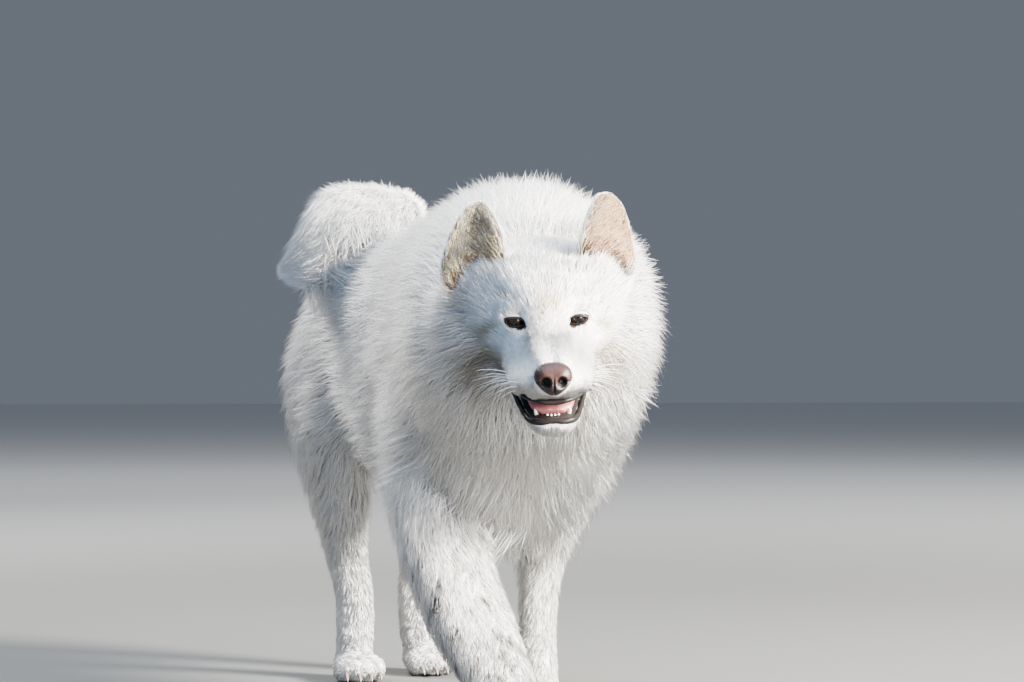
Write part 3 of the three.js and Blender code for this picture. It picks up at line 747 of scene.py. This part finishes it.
def tuft_points(skin, roots, random, rings, clump, pull, fluff):
    """The points of every tuft, three to a ring and one at the tip, and its clump's leader. A tuft is a
    three-sided blade along a quadratic curve from its root in the skin, bent at a knee, to its tip; knee
    and tip are set by their height above the skin. It is nearly half as wide at the root as at the knee
    if it has two rings, and widest at the root if it has one. Its tip is pulled some way to the tip of
    its clump's leader."""
    point, normal, lie = roots["point"], roots["normal"], roots["lie"]
    height, width = roots["height"], roots["width"]
    count = len(point)
    across = np.cross(lie, normal)
    veer = 0.30 * waves(point, 0.09, 21) + fluff * random.normal(size=count)
    lie = unit(lie + across * veer[:, None])
    length = roots["length"] * random.uniform(*LENGTHS, count)
    stray = random.random(count) < STRAYS
    rise = height * np.clip(random.normal(RISE, RISE_SPREAD, count), 0.3, 1.2)
    rise = rise * np.where(stray, STRAY_HEIGHT, 1.0)
    rise = rise * (1 + 0.1 * waves(point, 0.05, 22) + 0.1 * waves(point, 0.013, 23))
    width = width * np.where(stray, STRAY_WIDTH, 1.0)
    lifted = normal * rise[:, None]
    knee = along_skin(skin, point + lie * (KNEE_AT * length)[:, None] + lifted, normal, KNEE_RISE * rise)
    tip = along_skin(skin, point + lie * (TIP_AT * length)[:, None] + lifted, normal, rise)
    owner = clump_leaders(point, clump, random)
    share = (pull * random.uniform(0.4, 1.3, count))[:, None]
    tip = tip + share * (tip[owner] - tip)
    knee = knee + 0.35 * share * (knee[owner] - knee)
    root = point - normal * (0.12 * height + 0.0006)[:, None]
    s = np.array(rings)[None, :, None]
    path = (1 - s) ** 2 * root[:, None] + 2 * s * (1 - s) * knee[:, None] + s**2 * tip[:, None]
    way = unit(2 * (1 - s) * (knee - root)[:, None] + 2 * s * (tip - knee)[:, None])
    side = unit(np.cross(way, np.broadcast_to(normal[:, None], way.shape)))
    wobble = (random.normal(0, 0.05, count) * length)[:, None, None] * np.sin(4.5 * s)
    path = path + side * wobble
    bulge = 0.45 + 2.1 * s - 2.35 * s**2 if len(rings) > 1 else 1.0
    full = bulge * (width * random.uniform(0.7, 1.3, count))[:, None, None] / 2
    ridge = np.cross(side, way) * full * RIDGE
    corners = np.stack([path - side * full, path + side * full, path + ridge], 2)
    points = np.concatenate([corners.reshape(count, -1, 3), tip[:, None]], 1)
    points[..., 2] = np.maximum(points[..., 2], ABOVE_FLOOR)
    return points, owner


def tuft_faces(count, rings):
    """The triangles of every tuft: its closed root, two for each side between rings, and its point."""
    edges = ((0, 1), (1, 2), (2, 0))
    faces = [(0, 2, 1)]
    for r in range(0, 3 * rings - 3, 3):
        for a, b in edges:
            faces += [(r + a, r + b, r + b + 3), (r + a, r + b + 3, r + a + 3)]
    faces += [(3 * rings - 3 + a, 3 * rings - 3 + b, 3 * rings) for a, b in edges]
    return (np.array(faces)[None] + (3 * rings + 1) * np.arange(count)[:, None, None]).reshape(-1, 3)


def tufts(name, skin, roots, material, random, rings, clump, pull, fluff):
    """Many thin closed tufts as one mesh, with their places on the atlas and the values for the material:
    how far along the tuft a point is, a shade for each tuft, half of it its clump's, and the markings."""
    points, owner = tuft_points(skin, roots, random, rings, clump, pull, fluff)
    count, per = points.shape[:2]
    triangles = tuft_faces(count, len(rings))
    mesh = bpy.data.meshes.new(name)
    mesh.vertices.add(count * per)
    mesh.vertices.foreach_set("co", points.astype(np.float32).ravel())
    mesh.loops.add(triangles.size)
    mesh.loops.foreach_set("vertex_index", triangles.astype(np.int32).ravel())
    mesh.polygons.add(len(triangles))
    mesh.polygons.foreach_set("loop_start", np.arange(0, triangles.size, 3, dtype=np.int32))
    mesh.update(calc_edges=True)
    mesh.shade_smooth()
    patch = np.array([(c - 0.5, v) for v in rings for c in (0, 1, 0.5)] + [(0, 1)]) * PATCH
    layout = (roots["atlas"][:, None] + patch[None]).reshape(-1, 2)
    bake = mesh.uv_layers.new(name="OFBake")
    bake.data.foreach_set("uv", layout[triangles.ravel()].astype(np.float32).ravel())
    write_values(mesh, "reach", np.tile([*np.repeat(rings, 3), 1.0], count))
    shade = random.random(count)
    write_values(mesh, "shade", np.repeat(0.5 * shade + 0.5 * shade[owner], per))
    for key in MARKS:
        write_values(mesh, key, np.repeat(roots[key], per))
    mesh.materials.append(material)
    obj = bpy.data.objects.new(name, mesh)
    bpy.context.collection.objects.link(obj)
    return obj


# Coat pieces: the forms that each covers, the least and most length of its tufts in millimetres, how
# many it has, where along a tuft its rings are, how many share a clump, how far a tip is pulled to the
# clump's, and how much the lie strays
SHORT, LONG = (0.0,), (0.0, 0.45)
COAT_PIECES = {
    "coat_face": (("head", "jaw"), 0, 17, 46000, SHORT, 14, 0.5, 0.22),
    "coat_cheeks": (("head", "jaw"), 17, 100, 21000, LONG, 12, 0.26, 0.24),
    "coat_ears": (("ear_right", "ear_left"), 0, 100, 12000, LONG, 5, 0.35, 0.32),
    "coat_mane": (("neck",), 0, 200, 26000, LONG, 9, 0.1, 0.3),
    "coat_body": (("torso",), 0, 200, 24000, LONG, 12, 0.22, 0.26),
    "coat_tail": (("tail",), 0, 200, 11000, LONG, 8, 0.4, 0.3),
    "coat_forelegs": (("foreleg_left", "foreleg_right"), 0, 200, 17000, LONG, 8, 0.3, 0.2),
    "coat_breeches": (("thigh_left", "thigh_right"), 0, 200, 19000, LONG, 10, 0.4, 0.22),
}
MOST_TRIANGLES = 190000
FIRST_SEED = 100


def between(values, corner, mix):
    """Values inside triangles, mixed from those at their corners."""
    return (values[corner] * (mix if values.ndim == 1 else mix[..., None])).sum(1)


def rooted(points, normals, triangles, share, count, fields, marks, random):
    """What tufts need to know at count places on the skin, drawn among its triangles by their share.
    Places whose tuft would reach over an eye or the nose are left out."""
    chosen = random.choice(len(triangles), count, p=share / share.sum())
    u, v = random.random(count), random.random(count)
    flip = u + v > 1
    u, v = np.where(flip, 1 - u, u), np.where(flip, 1 - v, v)
    mix = np.stack([1 - u - v, u, v], 1)
    corner = triangles[chosen]
    normal = unit(between(normals, corner, mix))
    lie = between(fields["lie"], corner, mix)
    lie = unit(lie - normal * dot(lie, normal))
    roots = {"point": between(points, corner, mix), "normal": normal, "lie": lie}
    for key in SIZES:
        roots[key] = between(fields[key], corner, mix)
    for key in MARKS:
        roots[key] = between(marks[key], corner, mix) * (1 - 0.12 * random.random(count) ** 2)
    roots["atlas"] = fields["atlas"][corner[:, 0]]
    ends = roots["point"] + (0.9 * lie * roots["length"][:, None] + normal * roots["height"][:, None])
    free = ~kept_clear(ends) & ~kept_clear((roots["point"] + ends) / 2)
    return {key: values[free] for key, values in roots.items()}


def make_coat(skin, material):
    """Every coat piece, rooted at seeded places on the skin, denser where its tufts are smaller."""
    points, normals, triangles = arrays(skin.data)
    fields = coat_fields(points, normals)
    bare, mouth = bare_places(points, normals, fields["nearest"])
    marks = markings(points, fields["nearest"])
    # The skin takes the roots' painted shade, a quarter of the way to white
    even = {"mouth": mouth, "reach": np.full(len(points), 0.25), "shade": np.full(len(points), 0.5)}
    for key, values in {**marks, **even}.items():
        write_values(skin.data, key, values)
    a, b, c = points[triangles[:, 0]], points[triangles[:, 1]], points[triangles[:, 2]]
    area = np.linalg.norm(np.cross(b - a, c - a), axis=1) / 2
    density = fields["layers"] / (fields["length"] * 0.62 * fields["width"])
    weight = area * density[triangles].mean(1) * ~bare[triangles].any(1)
    form = fields["nearest"][triangles[:, 0]]
    long = fields["length"][triangles[:, 0]] / MM
    made = []
    for seed, (name, (forms, least, most, count, rings, *habit)) in enumerate(COAT_PIECES.items()):
        random = np.random.default_rng(FIRST_SEED + seed)
        share = weight * np.isin(form, forms) * (long >= least) * (long < most)
        roots = rooted(points, normals, triangles, share, count, fields, marks, random)
        parts = math.ceil(count * (6 * len(rings) - 2) / MOST_TRIANGLES)
        for part in range(parts):
            pick = {key: values[part::parts] for key, values in roots.items()}
            piece_name = name if parts == 1 else f"{name}_{part + 1}"
            made.append(tufts(piece_name, skin, pick, material, random, rings, *habit))
    return made


# Materials, their colours red, green, blue and 1
WHITE = (0.94, 0.93, 0.915, 1)
# Colour at the roots of the tufts: painted shade deep in the coat
SHADED_ROOTS = (0.72, 0.68, 0.625, 1)
# Cream, the ears' lining, brown and grey: the brown is partly painted shade and the grey partly painted
# shadow
STAINS_AND_SHADE = {
    "Cream": (0.48, 0.36, 0.20, 1),
    "Inner": (0.145, 0.068, 0.028, 1),
    "Brown": (0.036, 0.020, 0.010, 1),
    "Dirt_and_Shade": (0.060, 0.049, 0.041, 1),
}
GIVEN = ("Reach", "Shade", *STAINS_AND_SHADE)
MOUTH = (0.008, 0.005, 0.005, 1)
NOSE_BROWN, NOSE_BLACK = (0.034, 0.0135, 0.0095, 1), (0.004, 0.003, 0.003, 1)
# The eye's colours from its gaze outwards, at shares of half a turn: pupil, iris, its dark rim, white
EYE_BANDS = (
    (0.0, (0.002, 0.002, 0.002, 1)), (0.082, (0.003, 0.002, 0.002, 1)), (0.095, (0.014, 0.0065, 0.0035, 1)),
    (0.19, (0.026, 0.012, 0.0055, 1)), (0.27, (0.008, 0.005, 0.003, 1)), (0.40, (0.05, 0.038, 0.030, 1)),
)
# Plain finishes: two colours, the scale of their noise, roughness, bump, clear coat and shine
FINISHES = {
    "lip": ((0.006, 0.005, 0.005, 1), (0.014, 0.011, 0.010, 1), 260.0, 0.4, 0.3, 0.0, 0.14),
    "tongue": ((0.36, 0.11, 0.11, 1), (0.27, 0.075, 0.075, 1), 500.0, 0.35, 0.5, 0.25, 0.5),
    "tooth": ((0.80, 0.74, 0.62, 1), (0.70, 0.62, 0.48, 1), 120.0, 0.25, 0.0, 0.3, 0.5),
    "claw": ((0.09, 0.07, 0.06, 1), (0.24, 0.19, 0.16, 1), 160.0, 0.35, 0.15, 0.0, 0.5),
    "whisker": ((0.80, 0.79, 0.77, 1), (0.70, 0.69, 0.67, 1), 90.0, 0.4, 0.0, 0.0, 0.5),
}


def node(tree, kind, **values):
    """A new node, its inputs and settings given by name."""
    made = tree.nodes.new(kind)
    for key, value in values.items():
        if key in made.inputs:
            made.inputs[key].default_value = value
        else:
            setattr(made, key, value)
    return made


def number(tree, name):
    """The number of that name on the mesh's points."""
    return node(tree, "ShaderNodeAttribute", attribute_name=name).outputs["Fac"]


def pattern(tree, kind, **values):
    """A pattern on Object coordinates."""
    made = node(tree, kind, **values)
    tree.links.new(node(tree, "ShaderNodeTexCoord").outputs["Object"], made.inputs["Vector"])
    return made


def mixed(tree, factor, first, second, blend="MIX"):
    """A Mix node for two colours, each a socket or a colour."""
    mix = node(tree, "ShaderNodeMix", data_type="RGBA", blend_type=blend)
    for socket, value in ((mix.inputs[0], factor), (mix.inputs[6], first), (mix.inputs[7], second)):
        if isinstance(value, bpy.types.NodeSocket):
            tree.links.new(value, socket)
        else:
            socket.default_value = value
    return mix.outputs[2]


def new_material(name, roughness, shine, colour, bump=None, **values):
    """A material with one shader. colour and bump are functions of its tree: the one gives its colour,
    the other a height, the bump's strength, its depth in metres and whether it points inwards."""
    made = bpy.data.materials.new(name)
    made.use_nodes = True
    tree = made.node_tree
    inputs = tree.nodes["Principled BSDF"].inputs
    inputs["Roughness"].default_value = roughness
    inputs["Specular IOR Level"].default_value = shine
    for key, value in values.items():
        inputs[key.replace("_", " ")].default_value = value
    tree.links.new(colour(tree), inputs["Base Color"])
    if bump:
        height, strength, depth, inwards = bump(tree)
        lift = node(tree, "ShaderNodeBump", Strength=strength, Distance=depth, invert=inwards)
        tree.links.new(height, lift.inputs["Height"])
        tree.links.new(lift.outputs["Normal"], inputs["Normal"])
    return made


def markings_group():
    """The coat's colour: white, creamier and darker at the roots as painted shade deep in the coat, with
    the markings mixed in over a fine noise.
    """
    group = bpy.data.node_groups.new("coat colour", "ShaderNodeTree")
    for name in GIVEN:
        group.interface.new_socket(name, in_out="INPUT", socket_type="NodeSocketFloat")
    group.interface.new_socket("Colour", in_out="OUTPUT", socket_type="NodeSocketColor")
    given = node(group, "NodeGroupInput").outputs
    colour = mixed(group, given["Reach"], SHADED_ROOTS, WHITE)
    # Mixes in the markings, painted shade among them
    for name, tint in STAINS_AND_SHADE.items():
        colour = mixed(group, given[name], colour, tint)
    varied = node(group, "ShaderNodeMapRange", **{"To Min": 0.62, "To Max": 1.06})
    group.links.new(given["Shade"], varied.inputs["Value"])
    patchy = pattern(group, "ShaderNodeTexNoise", Scale=14.0, Detail=3.0)
    soft = node(group, "ShaderNodeMapRange", **{"To Min": 0.93, "To Max": 1.05})
    group.links.new(patchy.outputs["Fac"], soft.inputs["Value"])
    both = node(group, "ShaderNodeMath", operation="MULTIPLY")
    group.links.new(varied.outputs[0], both.inputs[0])
    group.links.new(soft.outputs[0], both.inputs[1])
    grey = node(group, "ShaderNodeCombineColor")
    for channel in grey.inputs:
        group.links.new(both.outputs[0], channel)
    colour = mixed(group, 1.0, colour, grey.outputs[0], "MULTIPLY")
    group.links.new(colour, node(group, "NodeGroupOutput").inputs["Colour"])
    return group


def marked(tree, group):
    """The coat's colour on a mesh that carries the markings."""
    used = node(tree, "ShaderNodeGroup", node_tree=group)
    for name in GIVEN:
        tree.links.new(number(tree, name.lower()), used.inputs[name])
    return used.outputs["Colour"]


def coat_material(group):
    """White hair, into which light passes a little way."""
    return new_material("coat", 0.62, 0.2, lambda tree: marked(tree, group), Sheen_Weight=0.08,
                        Subsurface_Weight=0.35, Subsurface_Radius=(1.0, 0.9, 0.8), Subsurface_Scale=0.004)


def skin_material(group):
    """Short flat fur as fine bump over the skin, and the wet lining of the mouth."""
    def colour(tree):
        return mixed(tree, number(tree, "mouth"), marked(tree, group), MOUTH)

    def bump(tree):
        fine = pattern(tree, "ShaderNodeTexNoise", Scale=420.0, Detail=4.0)
        return fine.outputs["Fac"], 0.35, 0.001, False

    return new_material("skin", 0.7, 0.12, colour, bump)


def plain_material(name, first, second, scale, roughness, relief, coat, shine):
    """A finish of two colours over a noise, with a bump of the same noise."""
    def noise(tree):
        return pattern(tree, "ShaderNodeTexNoise", Scale=scale, Detail=5.0).outputs["Fac"]

    def colour(tree):
        return mixed(tree, noise(tree), first, second)

    def bump(tree):
        return noise(tree), relief, 0.0006, False

    return new_material(name, roughness, shine, colour, bump if relief else None, Coat_Weight=coat,
                        Coat_Roughness=0.08)


def nose_material():
    """Pebbled leather, brown in the middle and near black at its edges, with painted shade near black in
    the nostrils, slits and furrow.
    """
    def colour(tree):
        return mixed(tree, number(tree, "dark"), NOSE_BROWN, NOSE_BLACK)

    def bump(tree):
        return pattern(tree, "ShaderNodeTexVoronoi", Scale=900.0).outputs["Distance"], 0.5, 0.0004, True

    return new_material("nose", 0.38, 0.3, colour, bump)


def eye_material():
    """Near-black pupil, dark brown iris with streaks, dark rim, under a clear wet coat."""
    def colour(tree):
        ramp = node(tree, "ShaderNodeValToRGB")
        tree.links.new(number(tree, "ring"), ramp.inputs[0])
        steps = ramp.color_ramp.elements
        for i, (at, band) in enumerate(EYE_BANDS):
            step = steps[i] if i < 2 else steps.new(at)
            step.position = at
            step.color = band
        turn = node(tree, "ShaderNodeCombineXYZ")
        tree.links.new(number(tree, "turn"), turn.inputs[0])
        streak = node(tree, "ShaderNodeTexNoise", Scale=9.0, Detail=4.0)
        tree.links.new(turn.outputs[0], streak.inputs["Vector"])
        return mixed(tree, 0.35, ramp.outputs[0], streak.outputs["Color"], "SOFT_LIGHT")

    return new_material("eye", 0.12, 0.2, colour, Coat_Weight=0.25, Coat_Roughness=0.02)


# Nose, eyes, mouth, whiskers and claws
def nose(material):
    """A ball with a super-ellipse for its section, narrower below. Nostrils, slits and furrow are pressed
    in and the wings raised, each by e to the minus a power of the distance from its middle."""
    lat = np.linspace(0.01, math.pi - 0.01, 130)[:, None]
    lon = circle(180)[None]
    square = (np.abs(np.cos(lon)) ** 2.5 + np.abs(np.sin(lon)) ** 2.5) ** (-1 / 2.5)
    wide = np.sin(lat) ** 0.8
    x = wide * np.cos(lon) * square
    z = wide * np.sin(lon) * square
    y = np.cos(lat) + 0 * lon
    px = x * NOSE["half"] * (1 - 0.5 * np.maximum(0, -z) ** 1.3)
    py = -y * NOSE["depth"] * (1 - 0.1 * z) + 3 * z
    pz = z * np.where(z > 0, NOSE["up"], NOSE["down"])
    out = np.abs(px)
    hole = np.hypot((out - NOSTRIL["out"]) / NOSTRIL["half"], (pz + NOSTRIL["below"]) / NOSTRIL["reach"])
    hole = np.exp(-(hole**3)) * smooth(y, 0.0, 0.5)
    bend = pz + SLIT["below"] - 0.12 * (out - 8)
    slit = np.exp(-(((out - SLIT["out"]) / SLIT["half"]) ** 4) - (bend / SLIT["reach"]) ** 2)
    slit = slit * smooth(y, -0.3, 0.2)
    furrow = np.exp(-((px / FURROW["half"]) ** 2)) * smooth(-z, -0.35, 0.1) * smooth(y, 0.0, 0.4)
    wing = np.exp(-(((out - WING["out"]) / WING["size"]) ** 2) - ((pz - WING["above"]) / WING["size"]) ** 2)
    py = py + NOSTRIL["deep"] * hole + SLIT["deep"] * slit + FURROW["deep"] * furrow - WING["proud"] * wing
    points = np.stack([px, py + NOSE["y"], pz + NOSE["z"]], -1)
    piece = thing("nose_leather", *tube(placed(points * MM, ON_HEAD)), material)
    edge = smooth(-y, -0.75, 0.0) + smooth(-z, -0.1, 0.6)
    # The nostrils, slits and furrow are painted near black: painted shade in their hollows
    dark = np.clip(1.3 * hole + 0.9 * slit + 0.8 * furrow + 0.85 * edge, 0, 1).ravel()
    write_values(piece.data, "dark", np.append(dark, [0.0, 1.0]))
    return piece


def eyeball(side, material):
    """A ball that bulges a little round its gaze, by e to the minus the fourth power of the angle. ring is
    the angle from the gaze and turn the way round it, for the iris."""
    s = SIDES[side]
    lat = np.linspace(0.01, math.pi - 0.01, 80)[:, None]
    lon = circle(64)[None]
    radius = EYE["radius"] * (1 + CORNEA["bulge"] * np.exp(-((lat / CORNEA["angle"]) ** 4)))
    x = np.sin(lat) * np.cos(lon) * radius
    z = np.sin(lat) * np.sin(lon) * radius
    y = -np.cos(lat) * radius + 0 * lon
    gaze = s * math.radians(GAZE_OUT)
    gx = x * math.cos(gaze) - y * math.sin(gaze)
    gy = x * math.sin(gaze) + y * math.cos(gaze)
    points = np.stack([gx + s * EYE["x"], gy + EYE["y"], z + EYE["z"]], -1)
    piece = thing("eyeball_" + side, *tube(placed(points * MM, ON_HEAD)), material)
    write_values(piece.data, "ring", np.append((lat / math.pi + 0 * lon).ravel(), [0.0, 1.0]))
    write_values(piece.data, "turn", np.append((0 * lat + np.abs(lon - math.pi)).ravel(), [0.0, 0.0]))
    return piece


# Each lip: the form it lies on, the angle round it in front and how far that swings to each side, t in
# front and at the corners, and in millimetres its radius, how deep it lies and how far it drops in front
LIPS = {
    "upper_lip": ("head", math.pi, 1.0, 0.07, 0.54, 2.4, 2.6, 6.0),
    "lower_lip": ("jaw", 0.0, 1.1, 0.06, 0.86, 3.7, 1.0, 3.0),
}


def lip(name, material):
    """A round cord of skin along the edge of the mouth: it starts at one corner, runs forwards along
    the form, swings through the middle in front, and goes back to the other. It is evened by a running
    mean of nine places, and thinner and crinkled to its corners."""
    form, middle, swing, front, corner, radius, inset, drop = LIPS[name]
    u = np.linspace(-1, 1, 161)
    part = np.abs(u)
    turn = np.sign(u) * (swing * np.minimum(1, part / 0.35) ** 0.7 + 0.22 * part**2)
    t = front + (corner - front) * np.maximum(0, (part - 0.15) / 0.85)
    line = FORMS[form].surface(t, middle + turn, inset * MM)
    line = line - ON_HEAD[:3, 2] * (drop * MM * smooth(1 - part, 0.0, 0.7))[:, None]
    line = [np.convolve(np.pad(line[:, i], 4, "edge"), np.ones(9) / 9, "valid") for i in range(3)]
    thick = radius * (1 - 0.6 * part**1.3) * (1 + 0.08 * np.sin(60 * u) * smooth(part, 0.3, 0.5)) * MM
    return thing(name, *cord(np.stack(line, 1), thick, 14, ON_HEAD[:3, 2]), material)


def tongue(material):
    """The tongue's form with a groove down its middle."""
    t, reach = with_ends(50)
    angle = circle(48)[None]
    groove = 1.5 * MM * np.exp(-((np.sin(angle) / 0.25) ** 2)) * (np.cos(angle) > 0)
    rings = Form(TONGUE, place=ON_HEAD).surface(t[:, None], angle, groove, reach[:, None])
    return thing("tongue_flesh", *tube(rings), material)


def cone(ends, radius, bend, place, sides=10, steps=8):
    """A curved cone between two ends of a place's frame, in millimetres. Its middle is bent aside by bend,
    in the dog's frame, and its radius falls as the square root of the way that is left."""
    root, tip = (placed(np.array([end]) * MM, place)[0] for end in ends)
    s = np.linspace(0, 0.985, steps)[:, None]
    path = root * (1 - s) + tip * s + np.array(bend) * MM * (4 * s * (1 - s))
    return cord(path, radius * MM * np.sqrt(1 - s), sides, [0.31, 0.17, 0.93])


def teeth(material):
    """Four small incisors and, outside them, two canines along the front of the lower jaw."""
    shapes = []
    for i in (-3, -2, -1, 1, 2, 3):
        s = math.copysign(1, i)
        canine = abs(i) == 3
        x = 3.6 * (abs(i) - 0.5) + (6.5 if canine else 0)
        root = np.array([s * x, -75 + 0.035 * x * x, -75])
        tip = root + ((s * 1.5, -0.5, 6.8) if canine else (0, -0.5, 3.2))
        bend = (s * 0.6, -0.8, 0) if canine else (0, 0, 0)
        shapes.append(cone((root, tip), 2.3 if canine else 1.9, bend, ON_HEAD))
    return fused("lower_teeth", shapes, material)


def whiskers(material):
    """Twelve fine bent hairs on each side of the muzzle, rooted in three rows, longer further back."""
    shapes = []
    for s in (-1, 1):
        for i in range(12):
            row, place = i % 3, i // 3
            t = 0.13 + 0.045 * place + 0.012 * row
            root = FORMS["head"].surface(t, s * (1.75 + 0.24 * row), 1.5 * MM) / MM
            way = np.array([s * 1.0, 0.25 + 0.12 * place, -0.12 - 0.2 * row]) @ ON_HEAD[:3, :3].T
            tip = root + unit(way) * (20 + 7 * place + 3 * row)
            shapes.append(cone((root, tip), 0.32, DOWN * -2.5, np.eye(4), 5, 6))
    return fused("whiskers", shapes, material)


def claws(name, material):
    """Four blunt curved claws in front of a paw's toes."""
    shapes = []
    for side in TOES:
        inner = 1 - abs(side)
        root = np.array([side * PAW["width"] * 0.34, -PAW["length"] * (0.34 + 0.15 * inner), 14.0])
        shapes.append(cone((root, root + (0, -13.0, -10.5)), 3.4, (0, -0.5, 1.8), paw_place(name)))
    return fused("claws_" + name, shapes, material)


group = markings_group()
finishes = {name: plain_material(name, *values) for name, values in FINISHES.items()}
eye_finish = eye_material()
skin = make_skin(skin_material(group))

# Each piece, its slot and the nodes that it stands for
pieces = [(skin, "skin", FLESH)]
pieces += [(piece, "coat", []) for piece in make_coat(skin, coat_material(group))]
pieces.append((nose(nose_material()), "nose", ["nose"]))
pieces += [(eyeball(side, eye_finish), "eye", ["eye_" + side]) for side in SIDES]
pieces += [(lid_ring(s, 1.1, 0.0, 1.1, finishes["lip"]), "skin", []) for s in SIDES.values()]
pieces += [(lip(name, finishes["lip"]), "lip", []) for name in LIPS]
pieces.append((tongue(finishes["tongue"]), "tongue", ["tongue"]))
pieces.append((teeth(finishes["tooth"]), "tooth", []))
pieces.append((whiskers(finishes["whisker"]), "coat", []))
pieces += [(claws(name, finishes["claw"]), "claw", []) for name in PAW_AT]
for piece, finish, stands_for in pieces:
    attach(piece, "root")
    if stands_for:
        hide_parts(*stands_for)


# Floor, light and camera. Each light: place, size, watts and colour
CENTRE = (0, 0, 0.4)
LIGHTS = {
    "key": ((2.6, -2.4, 2.1), 1.1, 2500, (1.0, 0.95, 0.875)),
    "sky": ((-0.6, -0.6, 4.2), 4.0, 310, (0.48, 0.70, 1.0)),
    "fill": ((-3.0, -1.8, 1.3), 2.5, 64, (0.30, 0.55, 1.0)),
    "front": ((1.2, -3.4, 1.0), 1.6, 500, (1.0, 0.98, 0.94)),
    "back": ((-0.8, 2.6, 2.8), 1.4, 380, (1.0, 0.985, 0.96)),
}
FLOOR = 60.0
FLOOR_NEAR, FLOOR_FAR = (0.092, 0.092, 0.088, 1), (0.86, 0.86, 0.85, 1)
WORLD = (0.145, 0.165, 0.20, 1)
CAMERA_AT = Vector((-956, -2605, 369)) * MM
HEADING = math.atan2(0.358, 0.934)
LOOK_UP = math.radians(1.16)
LENS, SENSOR = 85, 36


def floor_colour(tree):
    """Paler away from the middle, between 1.5 and 9 metres, to stay even where less light falls."""
    away = node(tree, "ShaderNodeVectorMath", operation="LENGTH")
    tree.links.new(node(tree, "ShaderNodeTexCoord").outputs["Object"], away.inputs[0])
    reach = node(tree, "ShaderNodeMapRange", **{"From Min": 1.5, "From Max": 9.0})
    reach.interpolation_type = "SMOOTHSTEP"
    tree.links.new(away.outputs["Value"], reach.inputs["Value"])
    return mixed(tree, reach.outputs[0], FLOOR_NEAR, FLOOR_FAR)


def floor():
    """A wide pale floor."""
    points = [(x * FLOOR, y * FLOOR, 0) for x, y in ((-1, -1), (1, -1), (1, 1), (-1, 1))]
    return thing("floor", points, [[0, 1, 2, 3]], new_material("floor", 0.9, 0.1, floor_colour))


def soft_light(name, at, size, watts, colour):
    """A round area light turned to the middle of the dog."""
    lamp = bpy.data.lights.new(name, "AREA")
    lamp.shape = "DISK"
    lamp.size = size
    lamp.energy = watts
    lamp.color = colour
    obj = bpy.data.objects.new(name, lamp)
    bpy.context.collection.objects.link(obj)
    obj.location = at
    obj.rotation_euler = (Vector(CENTRE) - Vector(at)).to_track_quat("-Z", "Y").to_euler()


floor()
for name, values in LIGHTS.items():
    soft_light(name, *values)
world = bpy.data.worlds.new("studio")
world.use_nodes = True
world.node_tree.nodes["Background"].inputs[0].default_value = WORLD
world.node_tree.nodes["Background"].inputs[1].default_value = 1.0
bpy.context.scene.world = world

lens = bpy.data.cameras.new("camera")
lens.lens = LENS
lens.sensor_width = SENSOR
camera = bpy.data.objects.new("camera", lens)
camera.location = CAMERA_AT
camera.rotation_euler = (math.pi / 2 + LOOK_UP, 0, -HEADING)
bpy.context.collection.objects.link(camera)
bpy.context.scene.camera = camera
